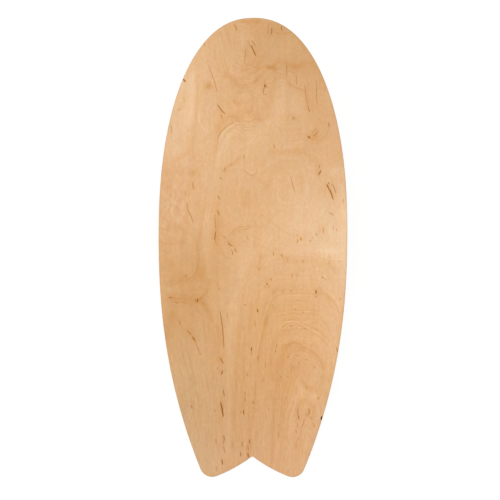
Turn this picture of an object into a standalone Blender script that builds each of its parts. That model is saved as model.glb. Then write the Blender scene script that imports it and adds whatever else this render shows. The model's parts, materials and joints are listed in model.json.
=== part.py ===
"""Balance board with roller: a fish-tailed plywood deck that rolls on a cork-covered roller.

Units are metres, +Z is up, the nose points to +X. The object stands as it is left on a floor,
with the tail tips down and the deck leaning on the roller. Lengths along the deck are measured
from its middle, and heights from its underside.
"""

import math

import bmesh
import bpy
from mathutils import Vector

# Deck: one sheet of plywood, cut to a fish-tailed outline with a rounded rim
DECK_LENGTH = 0.800
DECK_WIDTH = 0.329
DECK_THICKNESS = 0.015
RIM_RADIUS = 0.003
NOSE_LENGTH = 0.375  # from the nose back to the widest place
NOSE_FULLNESS = 2.22  # power of the nose's superellipse, where 2 is an ellipse
FLANK_FULLNESS = 2.28  # power of the curve that draws the flanks in
TIP_SPREAD = 0.140  # between the ends of the two tail tips
TIP_RADIUS = 0.022
TRAILING_RADIUS = 0.260  # of the bowed edge between a tip and the notch
NOTCH_DEPTH = 0.0355
NOTCH_RADIUS = 0.003

# Stops: battens across the underside that keep the roller on the board
STOP_INSET = 0.130  # from either end of the deck to the stop's inner face
STOP_WIDTH = 0.030
STOP_HEIGHT = 0.015
STOP_MARGIN = 0.018  # from the stop's end to the deck's rim
STOP_END_RADIUS = 0.008
STOP_EDGE_RADIUS = 0.003

# Screws: countersunk wood screws, driven upwards through the stops
SCREWS_PER_STOP = 4
SCREW_END_MARGIN = 0.020  # from the stop's end to the first screw
SCREW_RADIUS = 0.002
SCREW_HEAD_RADIUS = 0.004
SCREW_HEAD_RIM = 0.0005  # straight part of the head's edge
SCREW_POINT = 0.005  # length of the tapered point
SCREW_SKIN = 0.005  # wood left between the point and the deck's top face
RECESS_RADIUS = 0.0021  # of the six-lobed driver recess
RECESS_LOBE = 0.0004
RECESS_DEPTH = 0.0012
DRILL_LEAD = 0.002  # how far the drill stands out below the stop

# Roller: a wound tube in a thick cork sleeve, closed by turned plugs
ROLLER_RADIUS = 0.050
ROLLER_LENGTH = 0.300
ROLLER_FROM_NOSE = 0.270  # where the roller carries the deck, as it is left
CORK_THICKNESS = 0.015
CORK_EDGE_RADIUS = 0.003
CORE_WALL = 0.006
PLUG_FLANGE = 0.006
PLUG_SPIGOT = 0.016
PLUG_INSET = 0.001  # of the plug's face behind the cork's end
PLUG_CHAMFER = 0.0008
GROOVE_FROM_RIM = 0.007
GROOVE_WIDTH = 0.003
GROOVE_DEPTH = 0.001

# Fits and facets
SEAT_GAP = 0.0003  # between pieces that touch
NOSE_STEPS = 30
FLANK_STEPS = 16
TIP_STEPS = 12
TRAILING_STEPS = 5
NOTCH_STEPS = 4
STOP_END_STEPS = 4
ROUND_SEGMENTS = 3
ROLLER_SIDES = 48
SCREW_SIDES = 24


def flank_end():
    """Where the flank meets the tip's circle tangentially.

    Returns the angle there from the circle's tailward radius, the flank's length from the widest
    place, and how far it has drawn in by then. The flank draws in as a power of the distance
    from the widest place, and the angle is found by halving an interval until the slopes agree.
    """
    centre_x = -DECK_LENGTH / 2 + TIP_RADIUS
    centre_y = TIP_SPREAD / 2
    widest_x = DECK_LENGTH / 2 - NOSE_LENGTH
    low, high = 0.05, math.pi / 2
    for _ in range(50):
        angle = (low + high) / 2
        reach = widest_x - centre_x + TIP_RADIUS * math.cos(angle)
        drop = DECK_WIDTH / 2 - centre_y - TIP_RADIUS * math.sin(angle)
        if 1 / math.tan(angle) > FLANK_FULLNESS * drop / reach:
            low = angle
        else:
            high = angle
    return angle, reach, drop


def half_width(x):
    """Half the deck's width at a place along it, ahead of the tail tips."""
    widest_x = DECK_LENGTH / 2 - NOSE_LENGTH
    if x >= widest_x:
        share = min(1, (x - widest_x) / NOSE_LENGTH)
        return DECK_WIDTH / 2 * (1 - share**NOSE_FULLNESS) ** (1 / NOSE_FULLNESS)
    _, reach, drop = flank_end()
    return DECK_WIDTH / 2 - drop * ((widest_x - x) / reach) ** FLANK_FULLNESS


def trailing_centre():
    """Centre of the trailing edge's arc.

    The arc holds the tip's circle inside it and the notch's circle outside it, so its centre is
    a known distance from each of theirs.
    """
    tip = Vector((-DECK_LENGTH / 2 + TIP_RADIUS, TIP_SPREAD / 2))
    notch = Vector((-DECK_LENGTH / 2 + NOTCH_DEPTH - NOTCH_RADIUS, 0))
    to_tip = TRAILING_RADIUS - TIP_RADIUS
    to_notch = TRAILING_RADIUS + NOTCH_RADIUS
    between = notch - tip
    along = (to_tip**2 - to_notch**2 + between.length_squared) / (2 * between.length)
    aside = math.sqrt(to_tip**2 - along**2)
    sideways = Vector((-between.y, between.x)).normalized()
    if sideways.x < 0:
        sideways.negate()
    return tip + between.normalized() * along + sideways * aside, tip, notch


def arc(centre, radius, start, end, steps, whole=False):
    """Points on an arc. Its last one is left to the next stretch, unless the arc is whole."""
    angles = (start + (end - start) * i / steps for i in range(steps + whole))
    return [(centre[0] + radius * math.cos(a), centre[1] + radius * math.sin(a)) for a in angles]


def deck_outline():
    """The whole outline, from the nose down the left side, round the tail and back up."""
    widest_x = DECK_LENGTH / 2 - NOSE_LENGTH
    side = []
    for i in range(NOSE_STEPS):
        turn = math.pi / 2 * i / NOSE_STEPS
        ahead = math.cos(turn) ** (2 / NOSE_FULLNESS)
        out = math.sin(turn) ** (2 / NOSE_FULLNESS)
        side.append((widest_x + NOSE_LENGTH * ahead, DECK_WIDTH / 2 * out))
    angle, reach, _ = flank_end()
    for i in range(FLANK_STEPS):
        x = widest_x - reach * i / FLANK_STEPS
        side.append((x, half_width(x)))
    centre, tip, notch = trailing_centre()
    tip_end = math.atan2(tip.y - centre.y, tip.x - centre.x) % (2 * math.pi)
    notch_start = math.atan2(notch.y - centre.y, notch.x - centre.x) % (2 * math.pi)
    notch_turn = math.atan2(centre.y - notch.y, centre.x - notch.x)
    side += arc(tip, TIP_RADIUS, math.pi - angle, tip_end, TIP_STEPS)
    side += arc(centre, TRAILING_RADIUS, tip_end, notch_start, TRAILING_STEPS)
    side += arc(notch, NOTCH_RADIUS, notch_turn, 0, NOTCH_STEPS)
    notch_bottom = (notch.x + NOTCH_RADIUS, 0)
    return side + [notch_bottom] + [(x, -y) for x, y in reversed(side[1:])]


def stop_length():
    """Length of both stops: the shorter of the two that keep their margin to the rim."""
    far_face = DECK_LENGTH / 2 - STOP_INSET + STOP_WIDTH
    return 2 * min(half_width(far_face), half_width(-far_face)) - 2 * STOP_MARGIN


def screw_places(along):
    """Places of one stop's screws, evenly spaced across it from the left."""
    reach = stop_length() / 2 - SCREW_END_MARGIN
    step = 2 * reach / (SCREWS_PER_STOP - 1)
    return [Vector((along, reach - step * i, -STOP_HEIGHT)) for i in range(SCREWS_PER_STOP)]


def board_stance():
    """Tilt of the deck, and the place of its middle, as it stands on its tail and the roller.

    It turns about the centre line of the lower rim's rounding at the tail tips, which lies one
    rim radius over the floor, until the roller under it rests on the floor too.
    """
    ahead = DECK_LENGTH - ROLLER_FROM_NOSE - RIM_RADIUS
    below = ROLLER_RADIUS + SEAT_GAP + RIM_RADIUS
    rise = ROLLER_RADIUS - RIM_RADIUS
    tilt = math.atan2(below, ahead) + math.asin(rise / math.hypot(ahead, below))
    lengthwise = DECK_LENGTH - 2 * RIM_RADIUS
    upright = DECK_THICKNESS - 2 * RIM_RADIUS
    pivot_x = -(lengthwise * math.cos(tilt) - upright * math.sin(tilt)) / 2
    along = Vector((math.cos(tilt), 0, math.sin(tilt)))
    up = Vector((-math.sin(tilt), 0, math.cos(tilt)))
    middle = Vector((pivot_x, 0, RIM_RADIUS)) + along * lengthwise / 2 - up * RIM_RADIUS
    return tilt, middle


def material(name, colour, roughness, metallic=0.0):
    """A plain surface of one colour."""
    made = bpy.data.materials.new(name)
    made.use_nodes = True
    shader = made.node_tree.nodes["Principled BSDF"]
    shader.inputs["Base Color"].default_value = (*colour, 1)
    shader.inputs["Roughness"].default_value = roughness
    shader.inputs["Metallic"].default_value = metallic
    return made


def finished(name, bm, finish=None):
    """Turns a bmesh into a mesh with its faces pointing out and its round ones shaded smooth."""
    bmesh.ops.recalc_face_normals(bm, faces=bm.faces)
    mesh = bpy.data.meshes.new(name)
    bm.to_mesh(mesh)
    bm.free()
    mesh.shade_smooth()
    mesh.set_sharp_from_angle(angle=math.radians(30))
    if finish:
        mesh.materials.append(finish)
    return mesh


def add(name, mesh, parent, location=(0, 0, 0), tilt=0):
    """Places a mesh, or an empty that carries pieces, turned about Y with its +X side up."""
    made = bpy.data.objects.new(name, mesh)
    made.parent = parent
    made.location = location
    made.rotation_euler = (0, -tilt, 0)
    bpy.context.scene.collection.objects.link(made)
    return made


def plate(outline, bottom, top):
    """A flat plate with the given outline. Returns the bmesh, its lower and its upper face."""
    bm = bmesh.new()
    lower = bm.faces.new([bm.verts.new((x, y, bottom)) for x, y in outline])
    lifted = bmesh.ops.extrude_face_region(bm, geom=[lower], use_keep_orig=True)["geom"]
    raised = [item for item in lifted if isinstance(item, bmesh.types.BMVert)]
    bmesh.ops.translate(bm, vec=(0, 0, top - bottom), verts=raised)
    upper = next(item for item in lifted if isinstance(item, bmesh.types.BMFace))
    return bm, lower, upper


def round_edges(bm, faces, radius):
    """Rounds every edge of the given faces."""
    edges = list({edge for face in faces for edge in face.edges})
    bmesh.ops.bevel(
        bm, geom=edges, offset=radius, segments=ROUND_SEGMENTS, profile=0.5, affect="EDGES"
    )


def turn(bm, profile, sides, centre=(0, 0, 0), axis=(0, 0, 1), start=(1, 0, 0), closed=False):
    """Adds a profile of (radius, height) points, spun about an axis through the centre.

    start is the direction in which the profile is drawn. A closed profile makes a ring. Any
    other ends on the axis, or stays open there.
    """
    centre, axis, start = Vector(centre), Vector(axis), Vector(start)
    points = [bm.verts.new(centre + start * radius + axis * height) for radius, height in profile]
    pairs = list(zip(points, points[1:]))
    if closed:
        pairs.append((points[-1], points[0]))
    edges = [bm.edges.new(pair) for pair in pairs]
    bmesh.ops.spin(
        bm, geom=points + edges, cent=centre, axis=axis, steps=sides, angle=2 * math.pi,
        use_merge=True,
    )
    bmesh.ops.remove_doubles(bm, verts=bm.verts, dist=1e-6)


def screw_profile(clearance=0.0, lead=0.0):
    """Half section of a screw, point up, from the edge of its recess or, for a drill, its axis.

    A drill has a clearance all round, and leads in below the head.
    """
    head = SCREW_HEAD_RADIUS + clearance
    shank = SCREW_RADIUS + clearance
    length = STOP_HEIGHT + DECK_THICKNESS - SCREW_SKIN
    cone = SCREW_HEAD_RADIUS - SCREW_RADIUS
    first = 0 if lead else RECESS_RADIUS
    return [
        (first, -lead),
        (head, -lead),
        (head, SCREW_HEAD_RIM),
        (shank, SCREW_HEAD_RIM + cone),
        (shank, length - SCREW_POINT),
        (0, length + clearance),
    ]


def make_deck(board, finish):
    """The plywood sheet, with both edges of its rim rounded."""
    bm, lower, upper = plate(deck_outline(), 0, DECK_THICKNESS)
    round_edges(bm, (lower, upper), RIM_RADIUS)
    return add("deck", finished("deck", bm, finish), board)


def make_stop(name, board, along, finish):
    """A batten with round ends in plan and softened lower edges."""
    half_long, half_wide = stop_length() / 2, STOP_WIDTH / 2
    corner_y, corner_x = half_long - STOP_END_RADIUS, half_wide - STOP_END_RADIUS
    outline = []
    for quarter, (x, y) in enumerate([(1, 1), (-1, 1), (-1, -1), (1, -1)]):
        centre = (x * corner_x, y * corner_y)
        start = quarter * math.pi / 2
        outline += arc(centre, STOP_END_RADIUS, start, start + math.pi / 2, STOP_END_STEPS, True)
    bm, lower, _ = plate(outline, -SEAT_GAP - STOP_HEIGHT, -SEAT_GAP)
    round_edges(bm, (lower,), STOP_EDGE_RADIUS)
    return add(name, finished(name, bm, finish), board, (along, 0, 0))


def make_drill(name, board, places, targets):
    """One hidden cutter with a drill at each screw's place, which cuts every target."""
    bm = bmesh.new()
    for place in places:
        turn(bm, screw_profile(SEAT_GAP, DRILL_LEAD), SCREW_SIDES, place)
    cutter = add(name, finished(name, bm), board)
    cutter.hide_render = True
    cutter.display_type = "WIRE"
    for target in targets:
        cut = target.modifiers.new(name, "BOOLEAN")
        cut.operation = "DIFFERENCE"
        cut.solver = "EXACT"
        cut.object = cutter


def screw_mesh(finish):
    """A countersunk screw with a six-lobed recess sunk into its head."""
    bm = bmesh.new()
    turn(bm, screw_profile(), SCREW_SIDES)
    mouth = [edge for edge in bm.edges if edge.is_boundary]
    for vert in {vert for edge in mouth for vert in edge.verts}:
        lobe = (1 - math.cos(6 * math.atan2(vert.co.y, vert.co.x))) / 2
        vert.co.xy *= 1 - lobe * RECESS_LOBE / RECESS_RADIUS
    sunk = bmesh.ops.extrude_edge_only(bm, edges=mouth)["geom"]
    floor = [item for item in sunk if isinstance(item, bmesh.types.BMVert)]
    bmesh.ops.translate(bm, vec=(0, 0, RECESS_DEPTH), verts=floor)
    bmesh.ops.holes_fill(bm, edges=[edge for edge in bm.edges if edge.is_boundary])
    return finished("screw", bm, finish)


def add_turned(name, profile, roller, finish, closed=False):
    """One of the roller's pieces, turned about its axis, with a flat facet straight down."""
    half_facet = math.pi / ROLLER_SIDES
    start = (math.sin(half_facet), 0, -math.cos(half_facet))
    bm = bmesh.new()
    turn(bm, profile, ROLLER_SIDES, axis=(0, 1, 0), start=start, closed=closed)
    return add(name, finished(name, bm, finish), roller)


def make_roller(roller, cork, tube, wood):
    """The cork sleeve, the wound core that it is glued on, and the plugs that close the core."""
    half = ROLLER_LENGTH / 2
    bore = ROLLER_RADIUS - CORK_THICKNESS
    edge = ROLLER_RADIUS - CORK_EDGE_RADIUS
    edge_end = half - CORK_EDGE_RADIUS
    quarter = math.pi / 2
    sleeve = [(bore, half), (bore, -half)]
    sleeve += arc((edge, -edge_end), CORK_EDGE_RADIUS, -quarter, 0, ROUND_SEGMENTS, True)
    sleeve += arc((edge, edge_end), CORK_EDGE_RADIUS, 0, quarter, ROUND_SEGMENTS, True)
    add_turned("cork_sleeve", sleeve, roller, cork, closed=True)

    seat = bore - SEAT_GAP
    core_bore = seat - CORE_WALL
    plug_face = half - PLUG_INSET
    shoulder = plug_face - PLUG_FLANGE
    core_end = shoulder - SEAT_GAP
    core = [(seat, core_end), (seat, -core_end), (core_bore, -core_end), (core_bore, core_end)]
    add_turned("roller_core", core, roller, tube, closed=True)

    spigot = core_bore - SEAT_GAP
    inner_end = shoulder - PLUG_SPIGOT
    groove_middle = seat - GROOVE_FROM_RIM
    plug = [
        (0, inner_end),
        (spigot - PLUG_CHAMFER, inner_end),
        (spigot, inner_end + PLUG_CHAMFER),
        (spigot, shoulder),
        (seat, shoulder),
        (seat, plug_face - PLUG_CHAMFER),
        (seat - PLUG_CHAMFER, plug_face),
        (groove_middle + GROOVE_WIDTH / 2, plug_face),
        (groove_middle, plug_face - GROOVE_DEPTH),
        (groove_middle - GROOVE_WIDTH / 2, plug_face),
        (0, plug_face),
    ]
    add_turned("end_plug_left", plug, roller, wood)
    mirrored = [(radius, -height) for radius, height in plug]
    add_turned("end_plug_right", mirrored, roller, wood)


for old in list(bpy.data.objects):
    bpy.data.objects.remove(old)

plywood = material("birch_plywood", (0.73, 0.43, 0.21), 0.55)
batten_wood = material("beech", (0.60, 0.33, 0.17), 0.55)
plug_wood = material("turned_birch", (0.68, 0.42, 0.22), 0.5)
zinc = material("zinc_plated_steel", (0.62, 0.60, 0.55), 0.35, 1.0)
cork = material("cork", (0.42, 0.22, 0.10), 0.85)
board_tube = material("wound_board", (0.38, 0.25, 0.14), 0.9)

board_tilt, board_middle = board_stance()
board_frame = add("board_frame", None, None, board_middle, board_tilt)
deck = make_deck(board_frame, plywood)
shared_screw = screw_mesh(zinc)
stop_middle = DECK_LENGTH / 2 - STOP_INSET + STOP_WIDTH / 2
for end, stop_along in (("nose", stop_middle), ("tail", -stop_middle)):
    stop = make_stop(end + "_stop", board_frame, stop_along, batten_wood)
    places = screw_places(stop_along)
    make_drill(end + "_drill", board_frame, places, (stop, deck))
    for number, place in enumerate(places, 1):
        add(f"{end}_screw_{number}", shared_screw, board_frame, place)

roller_along = DECK_LENGTH / 2 - ROLLER_FROM_NOSE
roller_place = (roller_along, 0, -ROLLER_RADIUS - SEAT_GAP)
roller_frame = add("roller_frame", None, board_frame, roller_place, -board_tilt)
make_roller(roller_frame, cork, board_tube, plug_wood)
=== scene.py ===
# A balance board with its roller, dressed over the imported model: a birch plywood deck sawn to a surf fish
# outline, a beech stop with four screws near each end of its underside, and a cork covered roller under it.
import json
import math

import bmesh
import bpy
import mathutils
import numpy as np
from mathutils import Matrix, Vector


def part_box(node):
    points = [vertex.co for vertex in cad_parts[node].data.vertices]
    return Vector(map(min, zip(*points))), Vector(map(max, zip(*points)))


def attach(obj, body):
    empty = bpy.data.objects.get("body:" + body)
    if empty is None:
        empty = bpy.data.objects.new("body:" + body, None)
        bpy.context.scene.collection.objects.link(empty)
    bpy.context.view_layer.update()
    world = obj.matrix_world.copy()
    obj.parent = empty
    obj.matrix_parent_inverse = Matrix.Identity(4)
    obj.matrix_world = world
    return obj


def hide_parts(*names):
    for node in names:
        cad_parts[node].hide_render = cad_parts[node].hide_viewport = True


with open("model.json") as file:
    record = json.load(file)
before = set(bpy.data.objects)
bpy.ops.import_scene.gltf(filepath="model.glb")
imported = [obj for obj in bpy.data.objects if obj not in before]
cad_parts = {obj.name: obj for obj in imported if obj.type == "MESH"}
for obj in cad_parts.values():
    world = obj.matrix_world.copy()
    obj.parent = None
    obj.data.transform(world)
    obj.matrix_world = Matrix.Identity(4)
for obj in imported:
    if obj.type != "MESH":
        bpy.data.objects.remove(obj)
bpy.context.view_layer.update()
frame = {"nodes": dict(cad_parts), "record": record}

MM = 0.001

# The deck: one sheet of birch plywood, sawn to a surf fish outline with a swallow tail. Its rim is routed to
# a 3 mm round above and below and sanded, which cuts through the thin veneers in bands. It leans on its tail
# tips and on the roller, so everything on it is worked out in the deck's own frame, taken from the record.
DECK_LENGTH = 0.800
DECK_WIDTH = 0.329
DECK_THICKNESS = 0.015
RIM_RADIUS = 0.003
NOSE_LENGTH = 0.375
NOSE_FULLNESS = 2.22
FLANK_FULLNESS = 2.28
TIP_SPREAD = 0.140
TIP_RADIUS = 0.022
TRAILING_RADIUS = 0.260
NOTCH_DEPTH = 0.0355
NOTCH_RADIUS = 0.003
VENEERS = 11
SPINE_NOSE = 0.300
SPINE_TAIL = -0.340

standing = frame["record"]["mounts"][0]
moves = {joint["name"]: joint for joint in frame["record"]["behaviour"]["joints"]}
deck_up = np.array(standing["axis"])
deck_along = np.array(moves["roller_travel"]["axis"])
deck_across = np.cross(deck_up, deck_along)
deck_axes = np.stack((deck_along, deck_across, deck_up))
deck_origin = np.array(standing["pos_m"]) - DECK_THICKNESS * deck_up


def from_deck(places):
    """Places along, across and above the deck's underside, as places in the world."""
    return deck_origin + places @ deck_axes


def arc(centre, radius, start, end, count):
    """Points of a circle: its centre plus its radius times the cosine and sine of an even run of angles."""
    angle = np.linspace(start, end, count)
    return np.stack((centre[0] + radius * np.cos(angle), centre[1] + radius * np.sin(angle)), -1)


def fish_side(count=1500):
    """The deck's left side from nose to notch, in five pieces that meet with one tangent.

    Nose: cosine and sine of an angle, each raised to two over the fullness. Flank: half the width less a drop
    that grows with a power of the distance behind the widest place. Tip, trailing edge and notch: three
    circles, where the trailing one holds the tip circle inside it and touches the notch circle from outside.
    """
    widest = DECK_LENGTH / 2 - NOSE_LENGTH
    half = DECK_WIDTH / 2
    turn = np.linspace(0, math.pi / 2, count)
    power = 2 / NOSE_FULLNESS
    nose = np.stack((widest + NOSE_LENGTH * np.cos(turn) ** power, half * np.sin(turn) ** power), -1)
    nose[-1] = widest, half
    tip = np.array((TIP_RADIUS - DECK_LENGTH / 2, TIP_SPREAD / 2))
    low, high = 0.0, math.pi / 2
    for _ in range(60):
        angle = (low + high) / 2
        reach = widest - tip[0] + TIP_RADIUS * math.cos(angle)
        drop = half - tip[1] - TIP_RADIUS * math.sin(angle)
        if 1 / math.tan(angle) > FLANK_FULLNESS * drop / reach:
            low = angle
        else:
            high = angle
    back = np.linspace(0, 1, count)[1:]
    flank = np.stack((widest - reach * back, half - drop * back ** FLANK_FULLNESS), -1)
    notch = np.array((NOTCH_DEPTH - NOTCH_RADIUS - DECK_LENGTH / 2, 0))
    to_tip = TRAILING_RADIUS - TIP_RADIUS
    to_notch = TRAILING_RADIUS + NOTCH_RADIUS
    gap = tip - notch
    span = math.hypot(*gap)
    lean = math.acos((span ** 2 + to_notch ** 2 - to_tip ** 2) / (2 * span * to_notch))
    heading = math.atan2(gap[1], gap[0]) - lean
    trailing = notch + to_notch * np.array((math.cos(heading), math.sin(heading)))
    leaves = math.atan2(*(tip - trailing)[::-1])
    leaves += 2 * math.pi if leaves < 0 else 0
    meets = heading + math.pi
    tip_arc = arc(tip, TIP_RADIUS, math.pi - angle, leaves, count // 2)[1:]
    trailing_arc = arc(trailing, TRAILING_RADIUS, leaves, meets, count // 2)[1:]
    notch_arc = arc(notch, NOTCH_RADIUS, heading, 0, count // 4)[1:]
    return np.concatenate((nose, flank, tip_arc, trailing_arc, notch_arc))


def outward(path):
    """Unit vectors square to a path that runs anticlockwise: the step to the next point, turned right."""
    step = np.gradient(path, axis=0)
    step /= np.linalg.norm(step, axis=1, keepdims=True)
    return np.stack((step[:, 1], -step[:, 0]), -1)


def spaced(path, count, closer):
    """Points along a path, even in the sum of step length times closeness, with their outward vectors."""
    step = np.linalg.norm(np.diff(path, axis=0), axis=1)
    cost = np.concatenate(((0,), np.cumsum(step * (closer[1:] + closer[:-1]) / 2)))
    wanted = np.linspace(0, cost[-1], count)
    out = outward(path)
    points = np.stack([np.interp(wanted, cost, path[:, axis]) for axis in (0, 1)], -1)
    out = np.stack([np.interp(wanted, cost, out[:, axis]) for axis in (0, 1)], -1)
    return points, out / np.linalg.norm(out, axis=1, keepdims=True)


def both_sides(points):
    """The left side, then the same points mirrored from the notch back to the nose, without their ends."""
    return np.concatenate((points, points[-2:0:-1] * (1, -1)))


def slab(outline, out, spine, rim, top_steps, under_steps):
    """Rings of a sheet's whole surface: from a line inside it to its rim, round the rim and back underneath.

    A flat ring is a share of the way from the spine to the outline. A rim ring is the outline drawn in along
    its outward vectors by an inset, at a height. The rim's rows are (inset, height), from the top down.
    """
    insets, heights = rim.T
    edge = outline - out * insets[:, None, None]
    rings = [spine + (edge[0] - spine) * share for share in np.linspace(0, 1, top_steps + 1)[:-1]]
    rings += list(edge)
    rings += [spine + (edge[-1] - spine) * share for share in np.linspace(1, 0, under_steps + 1)[1:]]
    high = np.concatenate((np.full(top_steps, heights[0]), heights, np.full(under_steps, heights[-1])))
    rings = np.array(rings)
    return np.dstack((rings, np.broadcast_to(high[:, None], rings.shape[:2])))


def shell(name, rings, finishes, bands=None, crease=35):
    """A closed surface: each ring of points joined to the next by four-cornered faces, its seams welded."""
    count = rings.shape[1]
    ring, place = np.meshgrid(np.arange(len(rings) - 1), np.arange(count), indexing="ij")
    follower = (place + 1) % count
    faces = np.stack((ring * count + place, (ring + 1) * count + place), -1)
    faces = np.dstack((faces, (ring + 1) * count + follower, ring * count + follower)).reshape(-1, 4)
    mesh = bpy.data.meshes.new(name)
    mesh.from_pydata(rings.reshape(-1, 3).tolist(), [], faces.tolist())
    for finish in finishes:
        mesh.materials.append(finish)
    if bands is not None:
        mesh.polygons.foreach_set("material_index", np.repeat(bands, count).astype(np.int32))
    welded = bmesh.new()
    welded.from_mesh(mesh)
    bmesh.ops.remove_doubles(welded, verts=welded.verts, dist=2e-6)
    welded.to_mesh(mesh)
    welded.free()
    mesh.shade_smooth()
    mesh.set_sharp_from_angle(angle=math.radians(crease))
    piece = bpy.data.objects.new(name, mesh)
    bpy.context.scene.collection.objects.link(piece)
    return piece


def places_of(piece):
    """A piece's own points, as rows of a table."""
    table = np.empty(len(piece.data.vertices) * 3, np.float32)
    piece.data.vertices.foreach_get("co", table)
    return table.reshape(-1, 3).astype(float)


def write_layer(piece, name, values):
    """Keeps one number, place or colour for each of a piece's points, for its finish to read."""
    kinds = {1: ("FLOAT", "value"), 3: ("FLOAT_VECTOR", "vector"), 4: ("FLOAT_COLOR", "color")}
    values = np.asarray(values, np.float32)
    kind, field = kinds[1 if values.ndim == 1 else values.shape[1]]
    layer = piece.data.attributes.new(name, kind, "POINT")
    layer.data.foreach_set(field, values.ravel())


def fasten(piece, body, finish, *nodes):
    """Makes a piece ride on a body in place of its solids. Its finish argument is not used."""
    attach(piece, body)
    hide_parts(*nodes)


class Graph:
    """A shader graph, written one node at a time. A plain number is set on its own socket."""

    def __init__(self, tree):
        self.nodes, self.links = tree.nodes, tree.links

    def feed(self, socket, value):
        if isinstance(value, bpy.types.NodeSocket):
            self.links.new(value, socket)
        else:
            socket.default_value = value[:3] if socket.type == "VECTOR" else value

    def node(self, kind, inputs, output=0, **settings):
        made = self.nodes.new("ShaderNode" + kind)
        for setting, value in settings.items():
            setattr(made, setting, value)
        for socket, value in inputs.items():
            self.feed(made.inputs[socket], value)
        return made.outputs[output]

    def sum(self, operation, *values):
        return self.node("Math", dict(enumerate(values)), operation=operation)


class Finish(Graph):
    """A procedural finish. Its scales are along, across and above a place's axes, or one number for all."""

    def __init__(self, name, **sockets):
        self.material = bpy.data.materials.new(name)
        self.material.use_nodes = True
        super().__init__(self.material.node_tree)
        self.shader = self.nodes["Principled BSDF"].inputs
        for socket, value in sockets.items():
            self.feed(self.shader[socket.replace("_", " ")], value)

    def layer(self, name, kind="Fac"):
        """What a piece keeps for each of its points: a number, a place (Vector) or a colour (Color)."""
        return self.node("Attribute", {}, kind, attribute_name=name)

    def part(self, place, axis):
        return self.node("SeparateXYZ", {"Vector": place}, axis)

    def vector(self, operation, *values):
        return self.node("VectorMath", dict(enumerate(values)), operation=operation)

    def length(self, place, scale):
        scaled = self.vector("MULTIPLY", place, scale)
        return self.node("VectorMath", {0: scaled}, "Value", operation="LENGTH")

    def noise(self, place, scale, detail=2.0, roughness=0.5):
        scale = scale if isinstance(scale, tuple) else (scale,) * 3
        inputs = {"Vector": self.vector("MULTIPLY", place, scale), "Scale": 1.0}
        return self.node("TexNoise", inputs | {"Detail": detail, "Roughness": roughness})

    def swing(self, place, scale, size, detail=2.0, roughness=0.5):
        """Noise about nought, from minus to plus half the size."""
        return self.sum("MULTIPLY_ADD", self.noise(place, scale, detail, roughness), size, -size / 2)

    def swung(self, value, *swing):
        """A value with a swing added to it."""
        return self.sum("ADD", value, self.swing(*swing))

    def own_number(self, value):
        """A number from nought to one, drawn anew for each whole step of a value."""
        return self.node("TexWhiteNoise", {"W": self.sum("FLOOR", value)}, noise_dimensions="1D")

    def fade(self, value, low, high, start=0.0, end=1.0):
        inputs = {"Value": value, "From Min": low, "From Max": high, "To Min": start, "To Max": end}
        return self.node("MapRange", inputs, interpolation_type="SMOOTHSTEP")

    def blend(self, share, first, second):
        return self.node("Mix", {0: share, 6: first, 7: second}, 2, data_type="RGBA")

    def darken(self, colour, amount, red=0.6, green=1.0, blue=1.65):
        """Takes an amount off a wood colour: least off its red and most off its blue, so that it browns."""
        loss = self.node("VectorMath", {0: (red, green, blue), "Scale": amount}, operation="SCALE")
        return self.vector("MULTIPLY", colour, self.vector("SUBTRACT", (1, 1, 1), loss))

    def bark_over(self, wood):
        """A wood colour with the deck's bark spots over it."""
        return self.blend(self.fade(self.layer("bark"), 0.25, 0.65), wood, colour(40, 24, 12))

    def paint(self, colour, height, depth):
        """Sets the colour, and a bump of a real depth from a height between nought and one."""
        self.feed(self.shader["Base Color"], colour)
        bump = self.node("Bump", {"Height": height, "Strength": 1.0, "Distance": depth})
        self.feed(self.shader["Normal"], bump)


def light_from(shade):
    """The light that shades send back, each given from 0 to 255 as it looks on a screen."""
    share = np.clip(shade, 0, 255) / 255
    return np.where(share <= 0.04045, share / 12.92, ((share + 0.055) / 1.055) ** 2.4)


def colour(red, green, blue):
    """A shader's colour, from 0 to 255 as it looks on a screen."""
    return (*light_from((red, green, blue)), 1.0)


# The face veneer: one rotary cut sheet of birch, glued on, sanded and oiled, with growth rings in arches and
# ovals, and brown flecks and stains from knots and insect tracks. Its figure is laid out in millimetres:
# ahead of the deck's middle, towards the nose, and right of its middle line with the nose up.


def mound(ahead, right, length, width, at_ahead, at_right):
    """A bell over a place: e to the minus of the squared shares of its half length and half width."""
    return np.exp(-((at_ahead - ahead) / length) ** 2 - ((at_right - right) / width) ** 2)


def through(value, *marks):
    """A smooth line through marks, each a value and what it is worth there.

    Between two marks it is a cubic that leaves each with the mean of the slopes on its two sides. Beyond the
    outer marks it runs on straight.
    """
    at, worth = np.array(sorted(marks), float).T
    slope = np.diff(worth) / np.diff(at)
    lean = np.concatenate((slope[:1], (slope[1:] + slope[:-1]) / 2, slope[-1:]))
    inside = np.clip(value, at[0], at[-1])
    step = np.clip(np.searchsorted(at, inside, side="right") - 1, 0, len(slope) - 1)
    width = np.diff(at)[step]
    share = (inside - at[step]) / width
    rest = 1 - share
    curve = worth[step] * (1 + 2 * share) * rest ** 2 + worth[step + 1] * (1 + 2 * rest) * share ** 2
    curve += width * share * rest * (lean[step] * rest - lean[step + 1] * share)
    return curve + lean[0] * np.minimum(value - at[0], 0) + lean[-1] * np.maximum(value - at[-1], 0)


def least(sharpness, *rings):
    """The least of several rings, rounded where they cross: minus the logarithm of summed powers of e."""
    return -np.log(sum(np.exp(-sharpness * ring) for ring in rings)) / sharpness


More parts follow.
